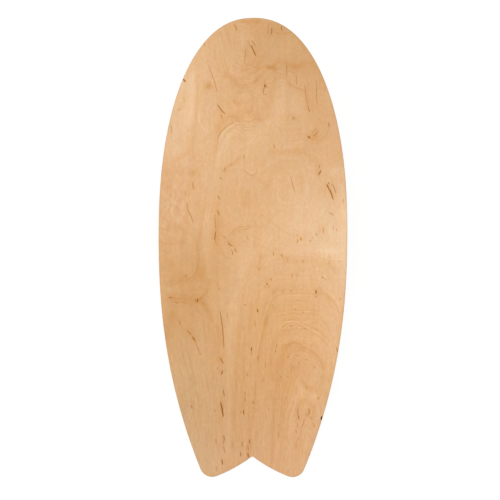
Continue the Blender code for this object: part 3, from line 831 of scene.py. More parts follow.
RING_LINES = (
    # how brown (below nought pale), width, then the path: right and ahead of each point
    (0.7, 1.8, 28, 283, 33, 289, 38, 292, 47, 294, 56, 293, 62, 288, 66, 283, 73, 279, 81, 276, 89, 274),
    (0.7, 1.8, -65, 166, -63, 178, -61, 190),
    (1.3, 2.4, -62, 186, -60.5, 193, -55, 202, -48, 208.5, -41, 213, -35.5, 216),
    (1.1, 2.0, -37, 215, -31, 219.5, -28, 220.3, -24.5, 218.5, -21, 212.7, -17.5, 209, -10, 208, -3, 208.5,
     3, 212),
    (-0.9, 1.8, -59, 188, -55, 196.5, -50.3, 202.3, -44.6, 208, -37.6, 211.6, -34, 215.6, -28.3, 217.6,
     -23.8, 215.6, -21.4, 211.6, -17.8, 208, -13.3, 206.8, -8.6, 207, -2.9, 207.2, 1.8, 210),
    (0.7, 1.6, -58, 176, -56.5, 182, -53, 189.5, -48, 197.7, -41, 204, -36.5, 207, -30, 208),
    (0.8, 1.6, -32.5, 213, -28.3, 215, -24.8, 213, -22.5, 210, -17.8, 205.5, -13, 204, -7.4, 204.6,
     -1.6, 205.5),
    (0.9, 2.0, -20.3, 228, -18, 222, -12, 218, -4, 219.7, 1.8, 224.3),
    (0.7, 1.8, 1.8, 233, 5.8, 230, 14.5, 230),
    (0.4, 1.6, -8.7, 248, -8.7, 234),
    (0.4, 1.6, -3, 248, -3, 233),
    (0.5, 2.6, -47, 222, -43, 227, -36, 228, -30, 228),
    (0.5, 1.6, -66, 160, -68, 148, -69.5, 104, -71.5, 77, -74, 57, -76, 38),
    (0.6, 1.8, -72, 125, -73.5, 112, -75.5, 77, -80, 54, -84, 26),
    (0.6, 1.4, 44, -139, 49, -132, 57, -127, 67, -125.5, 77, -127, 85, -130, 91, -134, 100, -138, 110, -142,
     120, -149, 128, -158),
    (-0.6, 1.6, 44, -149, 47, -139, 52, -133, 59, -129.5, 68, -128, 78, -130, 86, -134, 95, -139, 104, -144,
     114, -150, 122, -155, 128, -160, 133, -168, 137, -177, 140, -190, 141, -205),
    (0.8, 1.4, 49, -143, 54, -136, 60, -132, 68, -131, 77, -132.5, 84, -137, 90, -141, 99, -146, 109, -151,
     118, -157, 125, -163, 131, -172),
    (-0.5, 1.5, 54, -141, 61, -134.5, 69, -133.5, 76, -135, 83, -140),
    (0.5, 1.4, 57, -142, 63, -137, 70, -136, 77, -139),
    (0.5, 1.6, 47, -142, 43, -156, 41, -170, 40, -188),
    (0.4, 1.4, 34, -107, 42, -110, 50, -106, 57, -102, 68, -101),
    (0.4, 1.4, 38, -114, 47, -114, 55, -111, 66, -112, 80, -113),
    (0.4, 1.4, 40, -121, 48, -119, 60, -117, 75, -118),
    (0.4, 1.5, 44, -96, 55, -93, 75, -92, 95, -95, 112, -102, 124, -112),
    (0.4, 1.5, 104, -113, 116, -121, 127, -133, 135, -148),
    (0.4, 1.5, 106, -125, 117, -132, 126, -142),
    (0.5, 1.6, 33, -79, 44, -74, 56, -76, 68, -74, 80, -73, 92, -75, 104, -79),
    (0.4, 1.5, 92, -80, 98, -84, 105, -81),
    (0.5, 3.0, 112, -78, 121, -80, 129, -83, 137, -89, 143, -97, 148, -109, 151, -122),
    (-0.5, 3.0, 128, -76, 139, -84, 145, -91, 149.5, -99, 153, -110),
    (0.7, 2.0, 62, -170, 67, -166, 74, -165, 82, -168, 90, -174, 98, -178),
    (0.6, 2.0, 96, -179, 107, -182, 114, -189, 119, -198, 123, -211),
    (0.5, 1.8, 66, -174, 74, -171, 82, -175, 90, -181, 102, -186, 110, -193, 114, -205),
    (0.4, 1.8, 56, -184, 53, -200, 50, -220),
    (0.6, 1.8, 31, -184, 31, -200, 30, -212),
    (0.4, 1.8, 37, -152, 35, -168, 34, -182),
    (0.5, 2.0, 26, -108, 23, -122, 19, -140),
    (0.6, 2.0, 18, -145, 14, -165, 10, -187, 8, -205),
    (0.4, 1.8, 7, -205, 5, -235, 4, -262),
    (-0.5, 2.2, 20, -132, 15, -150, 10, -172, 7, -190),
    (0.4, 1.6, 60, -15, 80, -16, 100, -16, 120, -18, 136, -23),
    (0.5, 1.5, 139, -24, 150, -23, 161, -25),
    (-0.5, 1.6, 139, -21.5, 150, -20, 161, -22),
    (0.9, 1.8, -99.5, 20, -96, 2, -94, -14, -94, -24, -96, -37, -100, -46),
    (0.8, 1.8, -98, -42, -103, -50, -113, -56.5, -126, -59, -138, -58, -152, -62),
    (0.4, 1.6, -102, -56, -112, -60, -126, -62, -142, -66),
    (0.6, 1.6, -155, -83, -146, -85, -134, -89, -120, -90, -106, -91),
    (0.5, 1.6, -138, -97, -125, -96, -112, -99, -104, -102),
    (0.4, 1.6, -150, -80, -136, -82, -120, -83, -104, -85),
    (0.3, 1.8, -89, -87, -84, -81, -79, -73, -77, -66),
    (0.5, 1.6, -140, -112, -132, -127, -127, -134, -119, -142, -112, -147),
    (0.4, 1.6, -102, -106, -94, -112, -86, -122),
    (0.4, 1.6, -43, 131, -34, 135, -24, 136, -16, 135),
    (1.1, 2.0, -17, 135, -11, 130, -4, 125, 2, 125.5, 6, 130, 6, 137),
    (-0.4, 1.8, -38, 138, -28, 140, -16, 139, -9, 134, -3, 129, 2, 130, 4, 136),
    (0.9, 2.4, -42, 19, -35, 28, -26, 34, -15, 35.5, -6, 37, -3, 39),
    (-0.4, 1.6, -33, 26, -26, 31.5, -15, 33.5, -5, 36),
    (0.7, 2.0, -36, 19, -29, 28, -19, 31, -10, 32, -3, 35),
    (0.5, 1.8, -31, 20, -24, 26, -16, 27.5, -9, 28),
    (0.4, 1.5, 8, 58, 13, 56, 19, 58),
    (0.5, 1.6, -17, 321, -8, 320, -1, 324, 3, 331),
    (0.6, 1.5, 8, 333, 13, 330, 18, 334),
    (0.4, 1.5, -12, 312, 0, 308, 12, 312, 20, 320),
    (0.5, 1.5, 35, 294, 45, 297, 54, 295, 62, 289),
    (-0.5, 1.5, 35, 290, 43, 293, 51, 293, 58, 289),
    (0.5, 1.5, 35, 375, 45, 371, 58, 372, 66, 375),
    (0.4, 1.5, 0, 258, 4, 244, 8, 233, 18, 231),
    (0.4, 1.5, -12, 252, -12, 238, -6, 228, 4, 224),
    (0.4, 1.6, -38, 300, -25, 293, -12, 292, 2, 296, 14, 303),
    (0.4, 1.6, -30, 288, -18, 282, -5, 286, 6, 293),
    (-0.4, 1.8, -34, 294, -22, 287, -8, 289, 4, 294),
    (0.4, 1.6, -52, 330, -46, 312, -36, 296),
    (0.3, 1.4, -32, 370, -34, 350, -32, 335),
    (0.3, 1.4, 8, 376, 10, 362, 14, 350),
    (0.3, 1.4, -40, 362, -38, 345, -40, 330),
    (0.4, 1.6, -96, 275, -96, 250, -99, 225, -104, 205),
    (-0.6, 1.8, -92, 252, -95, 234, -94, 219, -88, 208, -80, 200),
    (0.4, 1.6, -81, 105, -81, 85, -80, 62),
    (0.4, 2.0, -163, 12, -157, 9, -151, 5),
    (0.4, 2.0, -161, -8, -153, -7, -145, -10),
    (0.4, 1.6, -58, -95, -58, -112),
    (0.4, 1.6, -50, -170, -50, -190),
    (0.4, 1.6, -54, -222, -53, -238, -51, -250),
    (0.4, 1.6, -27, -236, -26, -250, -28, -268),
    (0.4, 1.6, -62, -138, -61, -160, -60, -182),
    (0.4, 1.6, -68, -150, -66, -172, -64, -190),
    (0.4, 1.6, -67, -248, -66, -268, -67, -288),
    (0.4, 1.6, -104, -266, -102, -282, -104, -296),
    (0.4, 1.6, -99, -270, -95, -285, -96, -298),
    (0.3, 1.6, -116, -228, -110, -250, -106, -268),
    (0.4, 2.0, -5, -290, -6, -315, -6, -332),
    (0.4, 2.0, 38, -262, 37, -290, 36, -318),
    (0.4, 1.6, 62, -250, 60, -285, 57, -320),
    (0.5, 1.8, 79, -229, 86, -232, 92, -239),
    (0.5, 1.6, 80, -296, 79, -284, 83, -274, 90, -272, 96, -276),
    (0.5, 1.5, 3, 258, 9, 252, 9, 243, 4, 236, -3, 240, -4, 250, 0, 257),
    (0.4, 1.5, -50, 306, -42, 296, -30, 302, -14, 306, 0, 304, 10, 311),
    (0.4, 1.5, -44, 318, -30, 312, -14, 316, 0, 318),
    (0.4, 1.5, -34, 276, -20, 269, -6, 272, 6, 279, 12, 290),
    (-0.4, 1.6, -40, 308, -26, 300, -10, 299, 4, 301, 14, 309),
    (0.5, 1.6, 7, 50, 10, 53, 17, 55.5, 24, 51, 33, 44, 43, 35, 57, 26, 71, 19),
    (-0.3, 2.0, 8, 41, 12, 47, 17, 49, 24, 45, 33, 38, 43, 30, 57, 21, 68, 15),
    (0.4, 1.5, 104, 21, 118, 29, 130, 40, 140, 55, 146, 72),
    (0.4, 1.5, 132, 66, 140, 84, 146, 104, 144, 124, 134, 142),
    (0.3, 1.5, 122, 150, 104, 160, 84, 164, 64, 160),
    (0.3, 1.5, 30, 140, 46, 150, 66, 152, 88, 150, 106, 142),
    (-0.3, 1.8, 116, 24, 128, 34, 138, 48, 144, 66),
    (0.3, 1.5, 20, 75, 30, 58, 45, 44, 66, 35),
    (0.3, 1.5, 100, 12, 120, 12, 140, 8, 160, 6),
    (0.4, 1.5, -141, -178, -131, -202, -122, -228, -113, -255, -107, -275),
    (-0.4, 1.8, -138, -172, -128, -198, -119, -222, -110, -250),
    (0.4, 1.5, -133, -180, -123, -205, -114, -232),
    (0.3, 1.5, -112, -200, -104, -225, -98, -252),
    (0.4, 1.5, -152, -118, -144, -128, -138, -146, -135, -168),
    (-0.4, 1.8, -148, -112, -138, -120, -130, -134, -124, -152),
    (-0.7, 4.5, -140, 79, -133, 75),
    (-0.8, 5.0, -142, 67, -141, 56),
    (-0.5, 4.0, -122, 80, -120, 73),
    (-0.6, 3.5, -133, 17, -127, 12),
    (-0.6, 4.0, -141, 0, -138, -7),
    (-0.5, 4.0, -158, 40, -154, 34),
    (-0.5, 3.5, -124, 62, -120, 56),
    (-0.4, 4.0, -110, 88, -107, 82),
    (-0.4, 4.0, -136, 108, -132, 100),
    (0.5, 2.0, -132, 68, -130, 58, -133, 50),
    (0.4, 2.0, -150, 88, -146, 80),
    (0.4, 2.0, -155, -20, -150, -30, -146, -28),
    (0.7, 2.6, -158, -4, -151, -10, -144, -7),
    (0.6, 3.0, -162, 14, -157, 7),
    (0.6, 2.2, -62, 22, -54, 20, -47, 15, -43, 8),
    (0.4, 2.0, -135, 30, -130, 24, -132, 16),
    (0.4, 2.0, -128, 84, -124, 90, -126, 98),
    (0.6, 2.6, -56, 4, -54, -10, -46, -19, -36, -20),
    (0.6, 2.4, -67, -58, -62, -66, -57, -76),
    (0.35, 1.8, -96, -92, -86, -83, -79, -77, -71, -69),
    (0.9, 2.4, 112, 185, 122, 190, 129, 199, 133, 210),
    (0.5, 2.0, 108, 181, 120, 183, 131, 191, 138, 204),
    (0.6, 2.0, -67, 352, -66, 330, -62, 312, -56, 298),
    (0.5, 2.0, -60, 382, -54, 362, -50, 340),
    (0.5, 1.8, -48, 384, -43, 364, -40, 348),
    (0.6, 2.0, -34, 330, -26, 318, -15, 313, -4, 317, 4, 326),
    (0.5, 1.8, -26, 331, -20, 321, -10, 319, 0, 325),
    (0.5, 1.8, -99, -245, -95, -262, -89, -280),
    (0.6, 2.0, -125, -178, -117, -202, -109, -226, -101, -250),
    (0.5, 2.0, -92, -192, -85, -212, -79, -232, -76, -252),
    (0.5, 2.0, -111, -190, -103, -215, -97, -240),
    (0.5, 2.0, -84, -131, -83, -150, -78, -170),
)
FLECKS = (
    # how dark, width, then the path: right and ahead of each point
    (0.9, 2.0, -34, 388, -31, 383, -29, 377),
    (0.5, 1.4, 26, 388, 25, 378, 26, 371),
    (0.9, 2.2, 32, 383, 31, 371),
    (0.9, 2.2, 48, 385, 50, 376),
    (0.6, 1.4, -10, 360, -7, 352, -3, 346),
    (0.8, 1.7, -3, 360, 3, 350),
    (1.1, 2.4, -4, 352, -1, 345, 4, 333),
    (0.6, 1.7, -13, 345, -15, 332, -15, 321),
    (0.7, 1.4, -78, 317, -75, 308, -72, 300, -67, 285, -63, 270),
    (0.6, 2.2, -86, 355, -84, 351),
    (1.2, 3.6, 20, 284, 20.5, 279),
    (0.5, 1.4, 20, 292, 20, 285),
    (0.5, 1.4, 21, 282, 26, 277),
    (0.8, 1.5, 19, 279, 17, 272, 18, 265),
    (0.6, 2.0, 19, 267, 23, 265),
    (0.5, 1.5, 58, 317, 58, 300),
    (0.6, 1.5, 75, 300, 75, 283),
    (0.5, 1.6, 89, 284, 92, 260, 97, 238),
    (0.6, 2.6, 96, 241, 98, 236),
    (0.6, 1.5, 109, 293, 110, 262, 111, 250),
    (1.3, 3.0, -123, 293, -118, 288),
    (1.1, 2.2, -62, 248, -56, 239, -49, 232),
    (0.6, 1.6, -54, 232, -56, 228, -54, 223),
    (0.5, 2.0, -35, 256, -33, 250),
    (0.5, 2.4, -16, 162, -17, 154),
    (0.5, 2.2, -143, 213, -142, 205, -142, 198),
    (0.5, 3.0, -130, 238, -127, 242),
    (0.3, 2.0, -121, 262, -120, 252),
    (1.2, 3.4, 95, 194, 99, 190),
    (0.6, 1.6, 104, 194, 109, 197, 114, 205),
    (0.5, 1.5, 102, 200, 108, 204, 110, 209),
    (0.8, 2.4, 131, 218, 132, 210),
    (0.6, 3.2, 68, 227, 71, 223),
    (0.6, 2.2, 36, 180, 37, 172),
    (0.5, 2.0, -38, 146, -38, 140),
    (0.6, 2.2, -49, 139, -51, 131),
    (0.6, 3.0, -58, 121, -54, 119),
    (0.8, 2.8, -61, 90, -58, 83),
    (0.8, 2.4, -62, 64, -59, 56),
    (0.6, 1.7, -67, 57, -66, 48, -65, 32),
    (1.0, 2.4, -65, 28, -66, 19, -67, 13),
    (0.4, 1.6, -66, 14, -64, 5),
    (0.5, 2.4, -106, 113, -103, 100),
    (0.8, 1.4, -115, 76, -114, 66, -110, 58, -107, 53, -105, 43),
    (0.4, 2.0, -118, 98, -118, 90),
    (0.7, 1.4, 65, 125, 68, 112, 73, 95),
    (0.7, 1.7, 115, 144, 115, 137),
    (1.1, 2.8, 118, 134, 114, 126),
    (1.3, 3.0, 128.5, 110, 131, 105),
    (0.9, 2.2, 131, 114, 132, 110),
    (1.3, 2.5, 129, 107, 134, 99, 137, 92, 139.5, 83),
    (0.8, 1.8, 138, 111, 141, 104, 144, 95),
    (0.7, 2.0, 132, 62, 140, 56),
    (0.7, 2.0, 157, 85, 157, 79),
    (0.7, 1.8, 123, 35, 122, 25),
    (0.7, 2.2, 110, 26, 111, 20),
    (0.4, 2.0, 139, 39, 140, 30),
    (0.4, 2.6, 145, 33, 146, 28),
    (0.4, 1.6, 77, 24, 77, 18),
    (0.9, 2.2, -43, 9, -41, 5, -35, 2),
    (0.8, 1.8, -37, -3, -35, -14),
    (0.8, 2.0, -32, -1, -29, -9),
    (0.5, 1.8, -52, 21, -47, 16),
    (0.6, 1.5, -12, 20, -8, 13),
    (0.8, 2.6, -147, -88, -140, -88),
    (0.5, 2.6, -117, -48, -116, -53),
    (0.6, 2.2, -135, -95, -131, -98),
    (1.2, 2.8, -95.5, -90, -97, -96),
    (0.6, 1.6, -93, -91, -88, -86),
    (0.6, 1.6, -99, -90, -100, -94),
    (0.3, 1.8, -60, -70, -57, -76),
    (0.6, 2.6, -15, -99, -12, -101),
    (0.8, 2.4, 78, 14, 77.5, 8),
    (0.9, 2.8, 83, 18, 84, 12),
    (0.7, 2.4, 100, 13, 99, 9),
    (0.4, 1.5, 112, 18, 115, 15),
    (0.4, 1.5, 118, 18, 122, 15),
    (0.4, 1.5, 103, 19, 105, 14),
    (0.6, 2.0, 35, -7, 36, -15),
    (0.4, 1.6, 39, -1, 40, -6),
    (0.8, 2.6, 49, -11, 51, -17),
    (0.5, 2.4, 10, -35, 11, -40),
    (0.3, 1.8, 60, -17, 60, -25),
    (0.4, 1.8, 76, -22, 77, -26),
    (0.6, 2.2, 86, -21, 88, -26),
    (0.5, 1.8, 133, -24, 133, -29),
    (0.4, 1.6, 134, -14, 135, -19),
    (0.6, 2.2, 68, -46, 69, -52),
    (0.5, 1.8, 78, -45, 77, -52),
    (0.5, 1.8, 99, -49, 102, -50),
    (0.7, 2.4, 120, -50, 123, -54),
    (0.7, 2.0, 126, -54, 127, -57),
    (0.7, 2.4, 31, -53, 32, -58),
    (0.9, 3.0, 24, -62, 26, -66),
    (0.6, 1.8, 22, -66, 21, -70),
    (0.4, 1.8, 28, -68, 29, -71),
    (0.5, 2.4, 52, -74, 53, -79),
    (0.5, 2.2, 66, -74, 67, -79),
    (1.4, 3.0, 110, -74, 110, -80),
    (0.7, 1.6, 107, -83, 110, -87, 113, -84),
    (0.4, 1.8, 95, -84, 99, -85),
    (1.1, 3.2, 8, -107, 9, -113),
    (0.7, 2.2, 34, -100, 35, -103),
    (0.6, 1.5, 4, -126, 4, -138),
    (0.4, 2.6, 152, -87, 154, -91),
    (0.5, 2.0, 73, -107, 76, -109),
    (0.7, 1.8, 86, -113, 90, -114),
    (0.5, 1.7, 90, -140, 92, -142),
    (0.5, 2.0, 67, -134, 67, -139),
    (0.5, 1.8, 48, -151, 47, -155),
    (1.1, 3.0, -2, -174, -2, -180),
    (0.6, 1.8, -2, -182, -1, -187),
    (0.6, 2.2, 9, -189, 9, -195),
    (0.7, 2.2, 40, -178, 40, -183),
    (0.5, 1.6, 42, -168, 41, -174),
    (0.6, 2.4, 62, -188, 61, -193),
    (0.4, 2.0, 76, -187, 77, -191),
    (0.4, 2.0, 72, -192, 74, -194),
    (0.4, 2.0, 66, -195, 68, -196),
    (0.5, 2.0, 92, -194, 96, -196),
    (0.7, 1.8, 81, -198, 81, -204),
    (0.5, 2.2, 107, -207, 110, -209),
    (0.5, 1.8, 22, -200, 22, -210),
    (0.6, 2.0, 18, -229, 18, -233),
    (0.6, 2.2, -10, -218, -9, -224),
    (0.5, 2.2, 47, -224, 50, -226),
    (0.5, 2.0, 60, -224, 63, -226),
    (0.5, 1.8, 31, -175, 33, -177),
    (0.8, 2.4, 146, -173, 147.5, -182),
    (0.5, 1.8, -128, -127, -126, -135),
    (0.7, 2.6, -113, -145, -110, -149, -107, -153),
    (0.9, 3.2, -105, -156, -100, -163),
    (0.7, 1.6, -100, -163, -96, -174, -93, -183),
    (0.6, 2.0, -92, -183, -91, -188),
    (1.0, 1.9, -57, -111, -54, -130, -52, -146, -51, -160, -50, -174),
    (0.4, 1.6, -61, -121, -60, -128),
    (0.4, 1.6, -46, -113, -44, -118, -45, -125),
    (0.9, 2.6, -56, -193, -53, -198, -51, -202),
    (1.1, 2.5, -52, -214, -54, -222),
    (0.5, 1.8, -62, -208, -60, -213),
    (0.4, 2.0, -84, -200, -85, -205),
    (0.4, 2.0, -16, -138, -16, -144),
    (0.8, 2.6, -51, -248, -49, -259),
    (1.4, 2.8, -55.5, -269, -53, -280, -51, -294),
    (0.6, 1.8, -14, -251, -13, -258),
    (0.7, 2.2, -13, -260, -13, -268),
    (0.6, 2.8, 1, -267, 2, -273),
    (0.5, 1.8, 1, -278, 2, -281),
    (0.4, 1.8, 17, -252, 18, -254),
    (0.5, 1.8, 28, -279, 29, -283),
    (0.8, 2.4, -107, -274, -105, -281),
    (1.1, 2.6, -16, -283, -15, -291),
    (0.5, 1.6, -21, -284, -20, -289),
    (0.5, 1.8, -66, -281, -65, -287),
    (0.9, 2.2, -50, -327, -49, -333, -50, -341),
    (0.6, 1.8, -50, -346, -49, -351, -48, -358),
    (0.5, 2.2, -64, -333, -63, -341),
    (0.9, 2.8, -5, -334, -5, -341),
    (0.8, 2.2, -18, -339, -18, -347),
    (0.7, 2.0, -8, -344, -7, -353),
    (0.5, 1.6, -34, -341, -34, -349),
    (0.8, 2.4, -21, -356, -20, -363),
    (1.0, 2.8, -8, -358, -7, -365),
    (1.1, 2.8, -53, -369, -52, -378),
    (0.5, 2.0, -63, -381, -62, -389),
    (0.3, 2.2, 46, -306, 46, -312),
    (0.4, 2.4, 45, -322, 46, -330),
    (0.8, 1.7, 79, -280, 79, -291, 81, -299),
    (0.3, 2.2, 81, -292, 81, -299),
    (1.0, 2.0, 98, -280, 99, -289),
    (0.8, 1.6, 97, -288, 96, -294),
    (0.6, 2.0, 90, -298, 89, -306, 87, -310, 84, -315),
    (0.4, 1.6, 84, -315, 85, -321),
    (0.6, 1.6, 78, -305, 78, -315),
    (0.6, 2.2, 76, -317, 76, -324),
    (0.6, 2.0, 106, -305, 108, -313),
    (0.5, 1.8, 101, -294, 104, -300),
    (0.5, 1.8, 81, -329, 80, -334),
    (0.6, 1.8, 76, -340, 76, -349),
    (1.3, 3.2, 121, -293, 119, -300),
    (0.6, 2.2, 115, -259, 115, -265),
    (0.5, 1.8, 93, -240, 95, -247),
    (0.5, 2.0, 38, -105, 40, -106),
)

face = Finish("birch_face_veneer", Roughness=0.5, Specular_IOR_Level=0.3)
place = face.layer("deck_place", "Vector")
grain = face.layer("fibre_place", "Vector")
plainly = face.layer("ring_strength")
curly = face.layer("curl")
wood = face.layer("face_tone", "Color")

# Rings wander a little. Each has thin brown lines in it, some plainer than others, and in between the wood
# swings lightly from pale to brown.
ring = face.swung(face.layer("growth_ring"), place, (12, 26, 1), 0.30)
ring = face.swung(ring, place, (50, 90, 1), 0.12)
ring = face.sum("MULTIPLY_ADD", face.swing(place, (34, 60, 1), 1.2), curly, ring)
banding = face.node("TexNoise", {"W": face.sum("MULTIPLY", ring, 3.2), "Detail": 3.0, "Roughness": 0.7},
                    noise_dimensions="1D")
broad = face.sum("MULTIPLY", face.sum("MULTIPLY_ADD", banding, 0.5, -0.25), plainly)
broad = face.swung(broad, place, (36, 62, 1), 0.16, 3, 0.6)
broad = face.swung(broad, grain, (7, 150, 1), 0.12)
broken = face.fade(face.noise(place, (22, 40, 1)), 0.4, 0.6, 0.3, 1.0)
for per_ring, amount in ((2, 0.13), (5, 0.08)):
    fine = face.sum("MULTIPLY", ring, float(per_ring))
    share = face.sum("FRACT", fine)
    line = face.sum("MULTIPLY", face.fade(share, 0.6, 0.9), face.fade(share, 1.0, 0.93))
    for weaker in (face.fade(face.own_number(fine), 0.2, 0.9), broken, plainly):
        line = face.sum("MULTIPLY", line, weaker)
    broad = face.sum("MULTIPLY_ADD", line, amount, broad)
blotch = face.sum("MULTIPLY", face.swing(place, (70, 110, 1), 0.75, 3, 0.6), curly)
tailward = face.fade(face.part(place, "X"), -0.12, -0.28, 0.3, 1.6)
fine = face.swung(face.swing(grain, (16, 420, 1), 0.20), grain, (60, 800, 1), 0.22, 1)
fine = face.swung(face.sum("MULTIPLY", fine, tailward), place, (150, 230, 1), 0.28, 2, 0.6)

# Drawn rings and flecks lie in three layers each, dealt out in turn, so that close neighbours don't share
# one. Their edges are ragged. A fleck is dark red brown, in a soft warm halo where the wood drank its sap.
STROKE_LAYERS = 3
ragged = face.sum("MULTIPLY_ADD", face.noise(place, (300, 420, 1)), 1.2, 0.4)
drawn, dark, halo = 0.0, 0.0, 0.0
for layer in range(STROKE_LAYERS):
    line, fleck = face.layer(f"ring_line_{layer}", "Vector"), face.layer(f"fleck_{layer}", "Vector")
    off_line, off_fleck = [face.sum("MULTIPLY", face.length(off, (1, 1, 0)), ragged) for off in (line, fleck)]
    drawn = face.sum("MULTIPLY_ADD", face.fade(off_line, 2.0, 0.2), face.part(line, "Z"), drawn)
    dark = face.sum("MULTIPLY_ADD", face.fade(off_fleck, 1.1, 0.4), face.part(fleck, "Z"), dark)
    halo = face.sum("MULTIPLY_ADD", face.fade(off_fleck, 3.4, 0.5), face.part(fleck, "Z"), halo)

tones = (
    # how much comes off, then how much of that off the red, the green and the blue
    (broad, 0.6, 1.0, 1.7),
    (face.swing(place, (22, 48, 1), 0.34, 3, 0.6), -0.15, 0.2, 1.0),
    (face.swing(place, (48, 60, 1), 0.10, 3, 0.6), -0.4, 1.0, -0.4),
    (blotch, 0.4, 1.0, 1.5),
    (fine, 0.6, 1.0, 1.5),
    (face.sum("MULTIPLY", drawn, 0.16), 0.6, 1.0, 1.6),
    (face.sum("MULTIPLY", halo, 0.12), 0.1, 0.8, 2.0),
    (face.sum("MINIMUM", dark, 1.25), 0.47, 0.58, 0.80),
)
for tone in tones:
    wood = face.darken(wood, *tone)
face.paint(face.bark_over(wood), face.sum("ADD", face.noise(grain, (30, 900, 1)), dark), 0.04 * MM)


# The sawn edge: eleven veneers of under a millimetre and a half, every other one with its grain across the
# deck, and thin brown glue between. A veneer whose fibres meet the edge end on drinks more oil and is darker,
# so the bands trade places between the nose and the flanks.
edging = Finish("birch_plywood_edge", Roughness=0.55, Specular_IOR_Level=0.25)
place = edging.layer("deck_place", "Vector")
veneer = edging.sum("MULTIPLY", edging.part(place, "Z"), VENEERS / DECK_THICKNESS)
veneer = edging.swung(veneer, place, (25, 25, 0), 0.16)
turned = edging.sum("FLOORED_MODULO", edging.sum("FLOOR", veneer), 2.0)
facing = edging.sum("SUBTRACT", turned, edging.fade(edging.layer("end_on"), 0.3, 0.7))
share = edging.sum("FRACT", veneer)
glue = edging.sum("ADD", edging.fade(share, 0.09, 0.0), edging.fade(share, 0.93, 1.0))
dark = edging.sum("MULTIPLY_ADD", edging.sum("ABSOLUTE", facing), -0.34, 0.36)
dark = edging.sum("ADD", dark, edging.sum("MULTIPLY_ADD", edging.own_number(veneer), 0.10, -0.05))
dark = edging.sum("MULTIPLY_ADD", glue, 0.42, dark)
dark = edging.swung(dark, place, (420, 420, 90), 0.22, 3, 0.6)
dark = edging.swung(dark, place, (1400, 1400, 2500), 0.20, 2, 0.6)
wood = edging.bark_over(edging.darken(colour(222, 184, 142), dark, 0.8, 1.0, 1.25))
edging.paint(wood, edging.sum("SUBTRACT", edging.noise(place, (700, 700, 2200), 3), glue), 0.05 * MM)


# The underside veneer: the same birch, plainer and a little darker, with long straight rings and a few wide
# arches. It was sanded but not oiled as often, and the cork has left a faint dull track down its middle.
under = Finish("birch_back_veneer", Roughness=0.6, Specular_IOR_Level=0.25)
place = under.layer("deck_place", "Vector")
slow = under.noise(place, (1.9, 7.5, 1), 1)
ring = under.sum("MULTIPLY", under.part(place, "Y"), 34.0)
ring = under.sum("ADD", ring, under.sum("MULTIPLY", slow, 9.0))
ring = under.swung(ring, place, (30, 90, 1), 0.5)
share = under.sum("FRACT", ring)
edge = under.sum("MULTIPLY", under.fade(share, 0.55, 0.92), under.fade(share, 1.0, 0.94))
dark = under.sum("MULTIPLY", edge, under.fade(under.own_number(ring), 0.0, 1.0, 0.04, 0.22))
UNDER_GRAIN = (
    # scale, strength and detail
    ((7, 150, 1), 0.22, 2),
    ((16, 520, 1), 0.22, 2),
    ((60, 1500, 1), 0.16, 1),
    ((30, 52, 1), 0.2, 3),
)
for swing in UNDER_GRAIN:
    dark = under.swung(dark, place, *swing)
wood = under.darken(colour(213, 168, 121), dark)
worn = under.fade(under.sum("ABSOLUTE", under.part(place, "Y")), 0.16, 0.13)
worn = under.sum("MULTIPLY", worn, under.noise(place, (5, 60, 1), 3))
wood = under.blend(under.sum("MULTIPLY", worn, 0.16), wood, colour(176, 140, 104))
under.paint(wood, under.noise(place, (30, 900, 1), 2), 0.04 * MM)

# The deck's own surface. Its points lie closer where the outline bends and near the two knocks in its rim.
# The rim's rows go by their lean, and one of them lies at the first glue line.
RIM_POINTS = 410
TOP_RINGS = 66
UNDER_RINGS = 22
GLUE_ROW = 4
CLOSER_IN_BENDS = 0.012
CLOSER_AT_KNOCKS = 2.5
KNOCKS_LIE_AT = (-0.297, 0.292)
NEAR_KNOCK = 0.006
KNOCK_FADES_AT = 0.008
KNOCK_FULL_AT = 0.014

side = fish_side()
bend = np.hypot(*np.gradient(outward(side), axis=0).T) / np.hypot(*np.gradient(side, axis=0).T)
closer = 1 + CLOSER_IN_BENDS * bend
for knock in KNOCKS_LIE_AT:
    closer += CLOSER_AT_KNOCKS * np.exp(-((side[:, 0] - knock) / NEAR_KNOCK) ** 2)
side, out = spaced(side, RIM_POINTS, closer)
side[[0, -1], 1] = 0
outline, out = both_sides(side), both_sides(out)
spine = np.stack((np.clip(outline[:, 0], SPINE_TAIL, SPINE_NOSE), np.zeros(len(outline))), -1)
first_glue = math.degrees(math.acos(1 - DECK_THICKNESS / VENEERS / RIM_RADIUS))
lean = np.radians((0, 14, 28, 42, first_glue, 68, 79, 90))
inset = RIM_RADIUS * (1 - np.sin(lean))
fall = RIM_RADIUS * (1 - np.cos(lean))
rim = np.concatenate((np.stack((inset, DECK_THICKNESS - fall), -1), np.stack((inset, fall), -1)[::-1]))
rings = slab(outline, out, spine, rim, TOP_RINGS, UNDER_RINGS)

# The knocks: wood bitten out at the rim's top, less and less further down.
KNOCKS = (
    # ahead, which side, half width and depth
    (-0.2975, 1, 0.0030, 0.0004),
    (0.2915, -1, 0.0022, 0.0004),
)
for ahead, right, wide, deep in KNOCKS:
    near = np.exp(-((outline[:, 0] - ahead) / wide) ** 2) * (outline[:, 1] * right < 0)
    high = np.clip((rings[..., 2] - KNOCK_FADES_AT) / (KNOCK_FULL_AT - KNOCK_FADES_AT), 0, 1)
    high[:TOP_RINGS] = 0
    rings[..., :2] -= (deep * near * high)[..., None] * out

# The outer veneers reach down to their glue line, and the sawn edge begins there.
bands = np.full(len(rings) - 1, 1)
bands[:TOP_RINGS + GLUE_ROW] = 0
bands[TOP_RINGS + len(rim) - 1 - GLUE_ROW:] = 2
finishes = (face.material, edging.material, under.material)
deck = shell("plywood_deck", from_deck(rings), finishes, bands)

